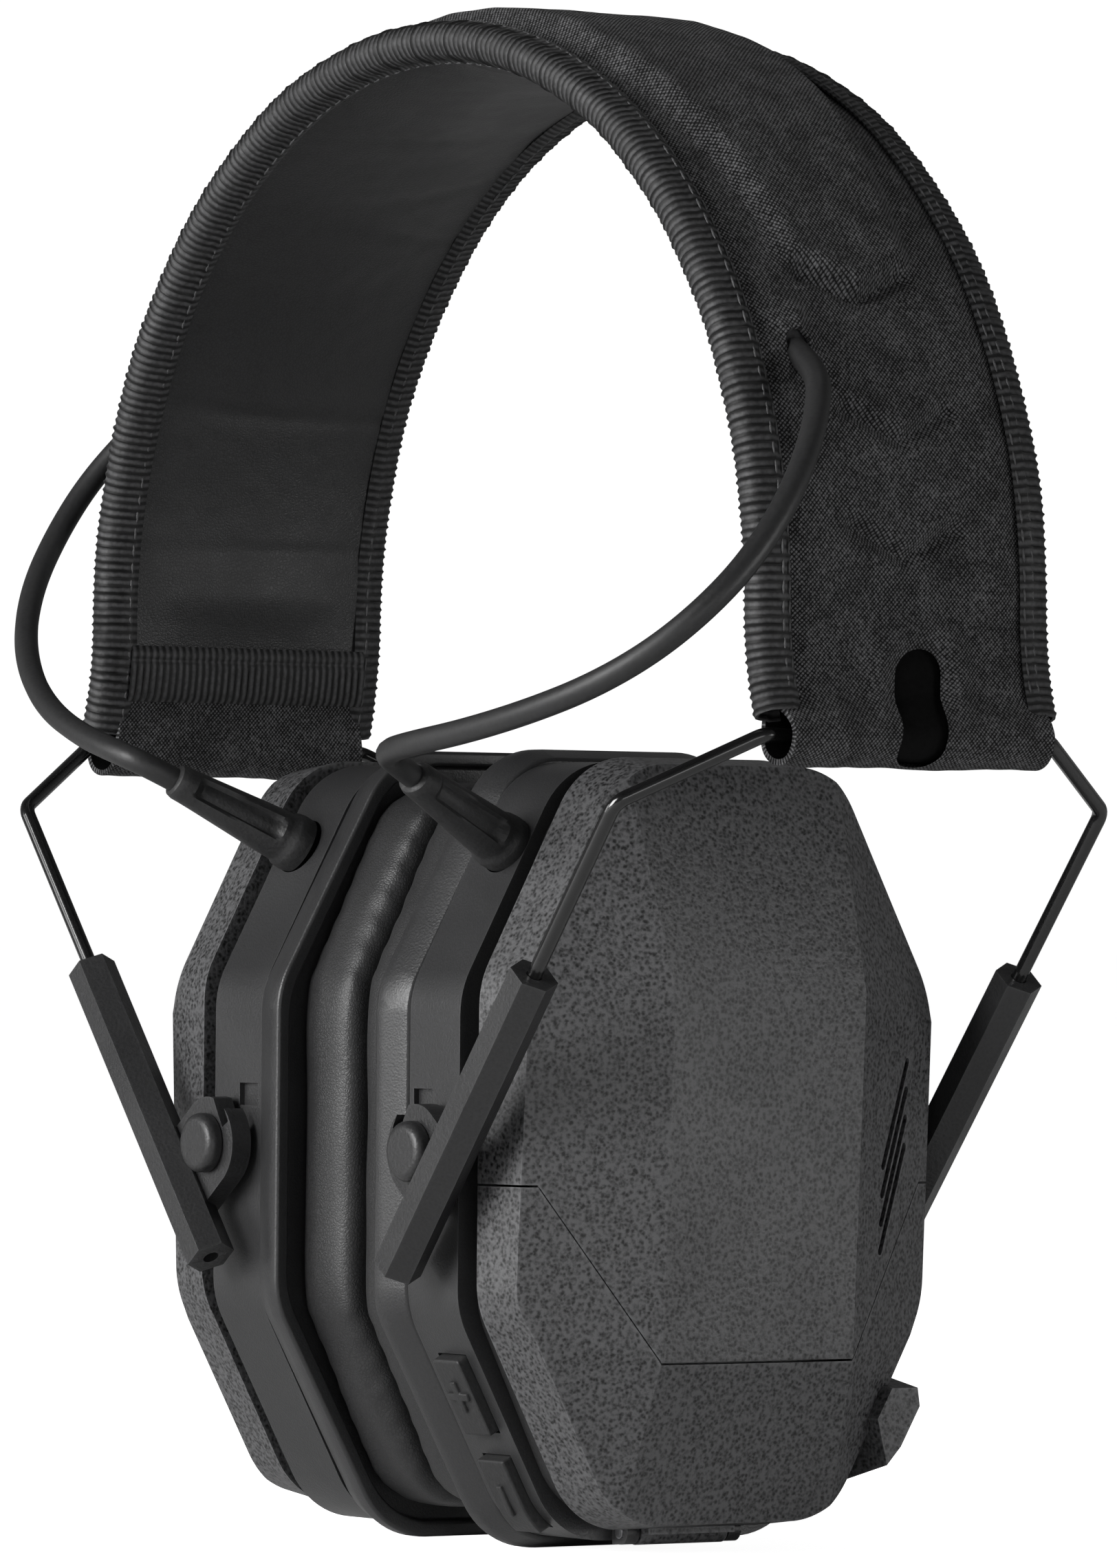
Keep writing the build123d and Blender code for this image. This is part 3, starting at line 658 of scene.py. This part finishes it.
# %% [markdown]
# ## Ear cushions and foam
# A cushion is a leatherette ring stuffed with soft foam. The model's plain ring is copied, remeshed, and
# blown up a little as cloth, so that the corners round off and the skin pulls tight over the edges. Because
# the ring is only 14 mm wide, the voxels are 1.8 mm.

# %% Cushions
def copy_of(node, name):
    o = nodes[node].copy()
    o.data = nodes[node].data.copy()
    o.name = name
    o.parent = None
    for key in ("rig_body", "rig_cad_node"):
        if key in o:
            del o[key]
    bpy.context.scene.collection.objects.link(o)
    only(o)
    o.data.materials.clear()
    bpy.ops.object.mode_set(mode="EDIT")
    bpy.ops.mesh.select_all(action="SELECT")
    bpy.ops.mesh.remove_doubles(threshold=0.00001)
    bpy.ops.object.mode_set(mode="OBJECT")
    return o


def remesh(o, voxel):
    m = o.modifiers.new("remesh", "REMESH")
    m.mode, m.voxel_size = "VOXEL", voxel
    apply_all(o)


RING_X, SWELL = (0.0013, 0.0172), 0.0016
CLOTH_FRAMES = 20


def cushion(side, k):
    ring = copy_of(f"ear_cushion_{side}", f"cushion_{side}")
    remesh(ring, 0.0018)
    soften = ring.modifiers.new("soften", "SMOOTH")
    soften.factor, soften.iterations = 0.5, 8
    apply_all(ring)
    start = table(ring)
    cloth = ring.modifiers.new("cloth", "CLOTH")
    cloth.settings.use_pressure = True
    cloth.settings.uniform_pressure_force = 4
    cloth.settings.effector_weights.gravity = 0
    cloth.settings.tension_stiffness = cloth.settings.compression_stiffness = 12
    cloth.collision_settings.use_collision = False
    cloth.point_cache.frame_start, cloth.point_cache.frame_end = 1, CLOTH_FRAMES
    for n in range(1, CLOTH_FRAMES + 1):
        bpy.context.scene.frame_set(n)
    apply_all(ring)
    bpy.context.scene.frame_set(1)
    co = table(ring)
    move = co - start
    far = np.linalg.norm(move, axis=1)
    co = start + move * (np.minimum(far, SWELL) / np.maximum(far, 1e-9))[:, None]
    co[:, 0] = np.clip(co[:, 0], *sorted((k * RING_X[0], k * RING_X[1])))
    co += 0.00022 * bumps(co * (0.5, 1, 1), 0.010, 30 + k)[:, None] * (0, 1, 1)
    write(ring, co)
    fine = ring.modifiers.new("fine", "SUBSURF")
    fine.levels = fine.render_levels = 1
    apply_all(ring)
    outward(ring)
    piece(ring, f"cup_{side}", [f"ear_cushion_{side}"], 80)


for side, k in SIDES:
    cushion(side, k)


# %% Acoustic foam
for side, k in SIDES:
    lining = copy_of(f"acoustic_foam_{side}", f"foam_lining_{side}")
    remesh(lining, 0.0014)
    soften = lining.modifiers.new("soften", "SMOOTH")
    soften.factor, soften.iterations = 0.5, 3
    apply_all(lining)
    co = table(lining)
    low, high = (np.array(c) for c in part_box(f"acoustic_foam_{side}"))
    co += 0.00025 * bumps(co, 0.003, 40 + k)[:, None] * (1, 1, 1)
    write(lining, np.clip(co, low, high))
    outward(lining)
    piece(lining, f"cup_{side}", [f"acoustic_foam_{side}"], 60)


# %% [markdown]
# ## Raised signs on the volume buttons
# A plus and a minus stand a little proud of each rubber cap, so that a gloved finger can tell them apart.

# %% Button signs
OUT = Vector((0, -0.8776, -0.4795))
DOWN = Vector((0, 0.4795, -0.8776))


def sign(node, name, bars):
    cap = table(nodes[node])
    low, high = (Vector(c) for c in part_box(node))
    middle = (low + high) / 2
    level = max(Vector(p).dot(OUT) for p in cap)
    face = middle + OUT * (level - middle.dot(OUT))
    parts = []
    for wide, tall in bars:
        bpy.ops.object.select_all(action="DESELECT")
        bpy.ops.mesh.primitive_cube_add(size=1, scale=(wide, tall, 0.0020))
        bpy.ops.object.transform_apply(location=False, rotation=False, scale=True)
        parts.append(bpy.context.object)
    if len(parts) > 1:
        weld = parts[0].modifiers.new("cross", "BOOLEAN")
        weld.object, weld.operation = parts[1], "UNION"
        apply_all(parts[0])
        bpy.data.objects.remove(parts[1])
    o = parts[0]
    o.name = name
    soft = o.modifiers.new("soft", "BEVEL")
    soft.width, soft.segments, soft.limit_method = 0.0002, 3, "ANGLE"
    apply_all(o)
    side = DOWN.cross(OUT)
    place = Matrix([(side[i], DOWN[i], OUT[i], face[i] - OUT[i] * 0.0006) for i in range(3)] + [(0, 0, 0, 1)])
    o.data.transform(place)
    outward(o)
    return o


piece(sign("volume_plus_button", "plus_sign", ((0.0044, 0.0011), (0.0011, 0.0046))), "volume_plus")
piece(sign("volume_minus_button", "minus_sign", ((0.0011, 0.0046),)), "volume_minus")

# %% [markdown]
# ## Rounded edges on the moulded parts
# A moulded edge is never sharp: it has a small radius that catches the light. Modifiers weld the model's
# loose triangles, bevel the edges and even out the normals, and leave the mesh itself as it came.

# %% Bevels
EDGE = {"outer_shell": 0.00055, "lower_cover": 0.00045, "battery_door": 0.00045, "flange": 0.0005, "rim_shell": 0.0004,
        "arm_": 0.00035, "mic_pod": 0.0004, "volume_": 0.0005, "shell_gasket": 0.0003, "pivot_studs": 0.00025}


def round_edges(o, width, angle=22):
    weld = o.modifiers.new("weld", "WELD")
    weld.merge_threshold = 0.000004
    edge = o.modifiers.new("edge", "BEVEL")
    edge.width, edge.segments, edge.limit_method, edge.angle_limit = width, 3, "ANGLE", radians(angle)
    edge.use_clamp_overlap, edge.miter_outer = True, "MITER_ARC"
    even = o.modifiers.new("even", "WEIGHTED_NORMAL")
    even.keep_sharp, even.weight = False, 60


rounded = 0
for name, node in nodes.items():
    for start, width in EDGE.items():
        if name.startswith(start):
            round_edges(node, width)
            rounded += 1
print("rounded", rounded, "moulded parts")

# %% [markdown]
# ## Shared effects
# An effect that several finishes use is a node group, made once. It puts out only what varies over the
# surface: a mask, a colour or a normal. The shader itself stays in each material.


# %% Node helpers
def group(name, inputs, outputs):
    tree = bpy.data.node_groups.new(name, "ShaderNodeTree")
    for label, kind, value in inputs:
        socket = tree.interface.new_socket(name=label, in_out="INPUT", socket_type=kind)
        socket.default_value = value
    for label, kind in outputs:
        tree.interface.new_socket(name=label, in_out="OUTPUT", socket_type=kind)
    return tree, tree.nodes.new("NodeGroupInput"), tree.nodes.new("NodeGroupOutput")


def add(tree, kind, values=(), **settings):
    node = tree.nodes.new("ShaderNode" + kind)
    for key, value in settings.items():
        setattr(node, key, value)
    for key, value in dict(values).items():
        if hasattr(value, "is_output"):
            tree.links.new(value, node.inputs[key])
        else:
            node.inputs[key].default_value = value
    return node


def calc(tree, operation, a, b=0.0):
    node = add(tree, "Math", {0: a, 1: b}, operation=operation)
    return node.outputs[0]


FLOAT, VECTOR = "NodeSocketFloat", "NodeSocketVector"

# %% Group: moulded grain
# Spark-eroded moulds leave tiny rounded pits of uneven size.
grain, gin, gout = group("moulded_grain", [("Scale", FLOAT, 2500.0), ("Depth", FLOAT, 0.3)],
                         [("Mask", FLOAT), ("Normal", VECTOR)])
where = add(grain, "TexCoord").outputs["Object"]
fine = add(grain, "TexNoise", {"Vector": where, "Scale": gin.outputs["Scale"], "Detail": 2.0, "Roughness": 0.6})
pits = add(grain, "TexVoronoi", {"Vector": where, "Scale": gin.outputs["Scale"]})
mix = calc(grain, "ADD", fine.outputs["Fac"], calc(grain, "MULTIPLY", pits.outputs["Distance"], 0.6))
bump = add(grain, "Bump", {"Strength": gin.outputs["Depth"], "Distance": 0.0002, "Height": mix})
grain.links.new(mix, gout.inputs["Mask"])
grain.links.new(bump.outputs["Normal"], gout.inputs["Normal"])

# %% Group: edge wear and painted edge highlight
# Touching polishes edges and leaves broad faint smears. The edge mask lightens every bevelled edge, partly as wear and
# partly as a painted highlight; the smears only change roughness.
wear_and_highlight, gin, gout = group("handling_wear", [("Edge", FLOAT, 0.0006)], [("Edges", FLOAT), ("Smears", FLOAT)])
where = add(wear_and_highlight, "TexCoord").outputs["Object"]
round_normal = add(wear_and_highlight, "Bevel", {"Radius": gin.outputs["Edge"]}, samples=4).outputs["Normal"]
flat_normal = add(wear_and_highlight, "NewGeometry").outputs["Normal"]
same = add(wear_and_highlight, "VectorMath", {0: round_normal, 1: flat_normal}, operation="DOT_PRODUCT").outputs["Value"]
rub = add(wear_and_highlight, "TexNoise", {"Vector": where, "Scale": 260.0, "Detail": 3.0}).outputs["Fac"]
edges = add(wear_and_highlight, "MapRange", {"Value": same, "From Min": 0.995, "From Max": 0.90, "To Min": 0.0, "To Max": 1.0})
broken = add(wear_and_highlight, "MapRange", {"Value": rub, "From Min": 0.35, "From Max": 0.6})
wear_and_highlight.links.new(calc(wear_and_highlight, "MULTIPLY", edges.outputs[0], broken.outputs[0]), gout.inputs["Edges"])
smear = add(wear_and_highlight, "TexNoise", {"Vector": where, "Scale": 45.0, "Detail": 4.0, "Distortion": 0.8}).outputs["Fac"]
wear_and_highlight.links.new(smear, gout.inputs["Smears"])

# %% Group: knit
# The loops of the knit lie on slanting rows, and the yarn is uneven. One height drives both the bump and the colour:
# the raised loops are painted lighter as a painted highlight and the hollows darker as painted shade, mixed with
# random yarn tone.
knit, gin, gout = group("knit_loops", [("Pitch", FLOAT, 0.0008), ("Depth", FLOAT, 0.6)],
                        [("Mask", FLOAT), ("Normal", VECTOR)])
flat_xy = add(knit, "SeparateXYZ", {0: add(knit, "TexCoord").outputs["UV"]})
u = calc(knit, "DIVIDE", flat_xy.outputs[0], gin.outputs["Pitch"])
v = calc(knit, "DIVIDE", flat_xy.outputs[1], gin.outputs["Pitch"])
slant_a = calc(knit, "ABSOLUTE", calc(knit, "SINE", calc(knit, "MULTIPLY", calc(knit, "ADD", u, v), pi)))
slant_b = calc(knit, "ABSOLUTE", calc(knit, "SINE", calc(knit, "MULTIPLY", calc(knit, "SUBTRACT", u, v), pi)))
loop = calc(knit, "MULTIPLY", slant_a, calc(knit, "POWER", slant_b, 0.7))
body = add(knit, "TexCoord").outputs["Object"]
fuzz = add(knit, "TexNoise", {"Vector": body, "Scale": 1900.0, "Detail": 2.0, "Roughness": 0.6}).outputs["Fac"]
drift = add(knit, "TexNoise", {"Vector": body, "Scale": 220.0, "Detail": 2.0}).outputs["Fac"]
yarn_height = calc(knit, "ADD", calc(knit, "MULTIPLY", loop, 0.8), calc(knit, "MULTIPLY", fuzz, 1.3))
high = calc(knit, "MULTIPLY", yarn_height, calc(knit, "ADD", calc(knit, "MULTIPLY", drift, 0.5), 0.75))
bump = add(knit, "Bump", {"Strength": gin.outputs["Depth"], "Distance": 0.0003, "Height": high})
knit.links.new(high, gout.inputs["Mask"])
knit.links.new(bump.outputs["Normal"], gout.inputs["Normal"])

# %% Group: tape ribs
# The tape is woven over thick cords, which stand up as ribs across it. Their crests are painted lighter as a painted
# highlight, with random yarn tone, and the hollows between them darker as painted shade.
ribbing, gin, gout = group("tape_ribs", [("Pitch", FLOAT, 0.0011), ("Depth", FLOAT, 0.4)],
                           [("Mask", FLOAT), ("Normal", VECTOR)])
along = add(ribbing, "SeparateXYZ", {0: add(ribbing, "TexCoord").outputs["UV"]}).outputs[0]
wave = calc(ribbing, "ABSOLUTE", calc(ribbing, "SINE", calc(ribbing, "MULTIPLY", calc(
    ribbing, "DIVIDE", along, gin.outputs["Pitch"]), pi)))
yarn = add(ribbing, "TexNoise", {"Vector": add(ribbing, "TexCoord").outputs["Object"], "Scale": 1400.0,
                                 "Detail": 2.0}).outputs["Fac"]
high = calc(ribbing, "MULTIPLY", wave, calc(ribbing, "ADD", yarn, 0.5))
bump = add(ribbing, "Bump", {"Strength": gin.outputs["Depth"], "Distance": 0.0002, "Height": high})
ribbing.links.new(high, gout.inputs["Mask"])
ribbing.links.new(bump.outputs["Normal"], gout.inputs["Normal"])

# %% Group: hide grain
# Leatherette is embossed with small pebbles between fine creases.
hide, gin, gout = group("hide_grain", [("Scale", FLOAT, 1100.0), ("Depth", FLOAT, 0.4)],
                        [("Mask", FLOAT), ("Normal", VECTOR)])
where = add(hide, "TexCoord").outputs["Object"]
bent = add(hide, "TexNoise", {"Vector": where, "Scale": 500.0, "Detail": 2.0}).outputs["Color"]
moved = add(hide, "VectorMath", {0: where, 1: add(hide, "VectorMath", {0: bent, "Scale": 0.0008},
                                                operation="SCALE").outputs[0]}, operation="ADD").outputs[0]
cell = add(hide, "TexVoronoi", {"Vector": moved, "Scale": gin.outputs["Scale"]}, feature="DISTANCE_TO_EDGE")
pebble = add(hide, "MapRange", {"Value": cell.outputs["Distance"], "From Max": 0.22}).outputs[0]
soft_fold = add(hide, "TexNoise", {"Vector": where, "Scale": 160.0, "Detail": 3.0}).outputs["Fac"]
high = calc(hide, "ADD", pebble, calc(hide, "MULTIPLY", soft_fold, 1.2))
bump = add(hide, "Bump", {"Strength": gin.outputs["Depth"], "Distance": 0.00015, "Height": high})
hide.links.new(pebble, gout.inputs["Mask"])
hide.links.new(bump.outputs["Normal"], gout.inputs["Normal"])
print("groups", [g.name for g in bpy.data.node_groups])

# %% [markdown]
# ## Finishes
# Every finish is one Principled BSDF. Its base colour and roughness move between two values with the
# group's mask, and its normal comes from the group, so no surface is one flat colour.


# %% Material builder
def use(tree, shared, **values):
    node = tree.nodes.new("ShaderNodeGroup")
    node.node_tree = shared
    for key, value in values.items():
        node.inputs[key].default_value = value
    return node


def finish(name, dark, light, rough, shared, wear_and_highlight_amount=0.0, span=(0.3, 1.1), sheen=0.0, specular=0.5, coat=0.0,
           metallic=0.0, **values):
    material = bpy.data.materials.new(name)
    material.use_nodes = True
    tree = material.node_tree
    shader = tree.nodes["Principled BSDF"]
    effect = use(tree, shared, **values)
    wear_and_highlight_node = use(tree, wear_and_highlight)
    mask = add(tree, "MapRange", {"Value": effect.outputs["Mask"], "From Min": span[0],
                                  "From Max": span[1]}).outputs[0]
    base = add(tree, "Mix", data_type="RGBA")
    base.inputs[6].default_value, base.inputs[7].default_value = (*dark, 1), (*light, 1)
    tree.links.new(mask, base.inputs[0])
    colour = base.outputs[2]
    smears = add(tree, "MapRange", {"Value": wear_and_highlight_node.outputs["Smears"], "From Min": 0.35, "From Max": 0.65,
                                    "To Min": rough[0], "To Max": rough[1]}).outputs[0]
    roughness = smears
    # Bevelled edges are painted lighter: partly rubbing wear, partly a painted highlight along the edges.
    if wear_and_highlight_amount:
        edge_wear_and_highlight_mix = add(tree, "Mix", data_type="RGBA")
        edge_wear_and_highlight_mix.inputs[7].default_value = (*(min(1, c * 1.9 + 0.01) for c in light), 1)
        tree.links.new(colour, edge_wear_and_highlight_mix.inputs[6])
        tree.links.new(calc(tree, "MULTIPLY", wear_and_highlight_node.outputs["Edges"], wear_and_highlight_amount), edge_wear_and_highlight_mix.inputs[0])
        colour = edge_wear_and_highlight_mix.outputs[2]
        roughness = calc(tree, "SUBTRACT", smears, calc(tree, "MULTIPLY", wear_and_highlight_node.outputs["Edges"], 0.15 * wear_and_highlight_amount))
    tree.links.new(colour, shader.inputs["Base Color"])
    tree.links.new(roughness, shader.inputs["Roughness"])
    tree.links.new(effect.outputs["Normal"], shader.inputs["Normal"])
    shader.inputs["Metallic"].default_value = metallic
    shader.inputs["Specular IOR Level"].default_value = specular
    shader.inputs["Coat Weight"].default_value = coat
    shader.inputs["Coat Roughness"].default_value = 0.15
    shader.inputs["Sheen Weight"].default_value = sheen
    shader.inputs["Sheen Roughness"].default_value = 0.4
    return material


def grey(v, warm=0.0):
    return (v * (1 + warm), v, v * (1 + 0.03 - warm))


# %% The finishes
FINISH = {
    "shell": finish("shell_plastic", grey(0.002), grey(0.085), (0.44, 0.50), grain, 0.5, span=(0.52, 0.95),
                    Scale=1700.0, Depth=0.3),
    "rim": finish("rim_plastic", grey(0.016), grey(0.026), (0.34, 0.46), grain, 0.4, Scale=3200.0, Depth=0.15),
    "arm": finish("arm_nylon", grey(0.014), grey(0.024), (0.30, 0.45), grain, 0.5, Scale=2200.0, Depth=0.2),
    "rubber": finish("soft_rubber", grey(0.010), grey(0.019), (0.45, 0.62), grain, 0.2, Scale=1800.0, Depth=0.25),
    "cord": finish("cord_jacket", grey(0.011), grey(0.018), (0.42, 0.55), grain, 0.0, Scale=1500.0, Depth=0.12),
    "wire": finish("coated_wire", grey(0.003), grey(0.006), (0.14, 0.24), grain, 0.0, Scale=900.0, Depth=0.05,
                   coat=0.5),
    # The knit's light colour on its raised loops is a painted highlight, mixed with random yarn tone.
    "knit": finish("black_knit", grey(0.003), grey(0.16), (0.70, 0.85), knit, 0.0, span=(0.80, 1.60), sheen=0.03,
                   specular=0.2, Pitch=0.00062, Depth=0.6),
    "backing": finish("jersey_backing", grey(0.001), grey(0.003), (0.80, 0.90), grain, 0.0, specular=0.1,
                      Scale=1500.0, Depth=0.2),
    # The tape's light colour on its rib crests is a painted highlight, and the dark in the hollows is painted shade.
    "binding": finish("ribbed_tape", grey(0.002), grey(0.060), (0.50, 0.65), ribbing, 0.0, span=(0.45, 1.15),
                      sheen=0.05, specular=0.35, Pitch=RIB, Depth=0.35),
    "thread": finish("sewing_thread", grey(0.015), grey(0.070), (0.45, 0.60), grain, 0.0, Scale=2500.0, Depth=0.3),
    "leatherette": finish("black_leatherette", grey(0.011), grey(0.021), (0.42, 0.52), hide, 0.0, span=(0.0, 1.0),
                          Scale=2200.0, Depth=0.2),
    "foam": finish("open_foam", grey(0.012), grey(0.045), (0.80, 0.95), grain, 0.0, Scale=900.0, Depth=0.9,
                   specular=0.2),
    # Painted shade: the spring steel is made near black so that it reads dark where it shows through the slot.
    "spring_steel": finish("blued_spring", grey(0.020), grey(0.035), (0.30, 0.42), grain, 0.0, Scale=1500.0,
                           Depth=0.1, metallic=1.0),
    "steel": finish("plated_steel", grey(0.48), grey(0.60), (0.20, 0.35), grain, 0.0, Scale=1500.0, Depth=0.1,
                    metallic=1.0),
    "board": finish("solder_mask", (0.010, 0.060, 0.025), (0.020, 0.110, 0.050), (0.25, 0.40), grain, 0.0,
                    Scale=700.0, Depth=0.1),
    "cell": finish("battery_wrap", grey(0.16), grey(0.22), (0.30, 0.42), grain, 0.0, Scale=900.0, Depth=0.1),
}
for name, o in nodes.items():
    for place in o.material_slots:
        kind = place.material.name.split(".")[0] if place.material else ""
        if name.startswith("microphone"):
            place.material = FINISH["rubber"]
        elif kind in FINISH:
            place.material = FINISH[kind]
        else:
            print("no finish for", name, kind)
MADE_OF = {"strain_relief": "rubber", "cord_": "cord", "knit_cover": "knit", "foam": "foam",
           "leatherette_pad": "leatherette", "binding": "binding", "hem_tape": "binding",
           "stitches": "thread", "cushion": "leatherette", "plus_sign": "rubber", "minus_sign": "rubber"}
for o in bpy.data.objects:
    if o.type == "MESH" and o.name not in nodes:
        for start, slot in MADE_OF.items():
            if o.name.startswith(start):
                faces = [p.material_index for p in o.data.polygons]
                o.data.materials.clear()
                o.data.materials.append(FINISH[slot])
                if slot == "knit":
                    o.data.materials.append(FINISH["backing"])
                o.data.polygons.foreach_set("material_index", faces)
print("finishes", len(FINISH))

# %% [markdown]
# ## Studio
# A pale floor and a white surround, which only the camera sees as white: the object itself gets a dim
# surround. Two soft windows at the left, low wide ones at the front and right and a faint one above give
# black surfaces long highlights and keep their depth.

# %% Floor, light and surround
PAPER_GLOW, BACKDROP_GLOW = 0.93, 1.05
bpy.ops.object.select_all(action="DESELECT")
bpy.ops.mesh.primitive_plane_add(size=60)
floor = bpy.context.object
floor.name = "studio_floor"
bpy.ops.object.mode_set(mode="EDIT")
bpy.ops.mesh.subdivide(number_cuts=4)
bpy.ops.object.mode_set(mode="OBJECT")
paper = bpy.data.materials.new("studio_paper")
paper.use_nodes = True
paper.node_tree.nodes["Principled BSDF"].inputs["Base Color"].default_value = (0.90, 0.90, 0.90, 1)
paper.node_tree.nodes["Principled BSDF"].inputs["Roughness"].default_value = 0.9
glow = add(paper.node_tree, "LightPath").outputs["Is Camera Ray"]
lit = calc(paper.node_tree, "MULTIPLY", glow, PAPER_GLOW)
paper.node_tree.links.new(lit, paper.node_tree.nodes["Principled BSDF"].inputs["Emission Strength"])
paper.node_tree.nodes["Principled BSDF"].inputs["Emission Color"].default_value = (1, 1, 1, 1)
floor.data.materials.append(paper)

SURROUND = (0.19, 0.05)
world = bpy.data.worlds.new("studio_surround")
bpy.context.scene.world = world
world.use_nodes = True
backdrop = world.node_tree.nodes["Background"]
backdrop.inputs["Color"].default_value = (1, 1, 1, 1)
seen = add(world.node_tree, "LightPath").outputs["Is Camera Ray"]
level = add(world.node_tree, "SeparateXYZ", {0: add(world.node_tree, "TexCoord").outputs["Generated"]}).outputs[2]
dim = add(world.node_tree, "MapRange", {"Value": level, "From Min": 0.0, "From Max": 0.8, "To Min": SURROUND[0],
                                        "To Max": SURROUND[1]}).outputs[0]
bright = add(world.node_tree, "MapRange", {"Value": seen, "To Min": dim, "To Max": BACKDROP_GLOW}).outputs[0]
world.node_tree.links.new(bright, backdrop.inputs["Strength"])


def window(name, place, aim, size, power):
    light = bpy.data.lights.new(name, "AREA")
    light.shape, light.size, light.size_y, light.energy = "RECTANGLE", size[0], size[1], power
    o = bpy.data.objects.new(name, light)
    o.location = place
    o.rotation_euler = (Vector(aim) - Vector(place)).to_track_quat("-Z", "Y").to_euler()
    bpy.context.scene.collection.objects.link(o)
    return o


window("window_left", (-0.05, -1.25, 0.50), (0, 0, 0.08), (0.6, 0.7), 20)
window("window_low_left", (-0.70, -1.10, 0.30), (0, 0, 0.08), (0.5, 0.5), 3)
window("window_front", (1.30, -0.45, 0.15), (0, 0, 0.06), (0.9, 0.26), 1.6)
window("window_right", (1.15, 0.80, 0.16), (0, 0, 0.10), (0.8, 0.28), 3.2)
window("window_top", (0.0, 0.1, 1.2), (0, 0, 0.1), (0.6, 0.6), 0.3)
bpy.context.scene.view_settings.view_transform = "Standard"
bpy.context.scene.frame_set(1)

# %% Import json
import json
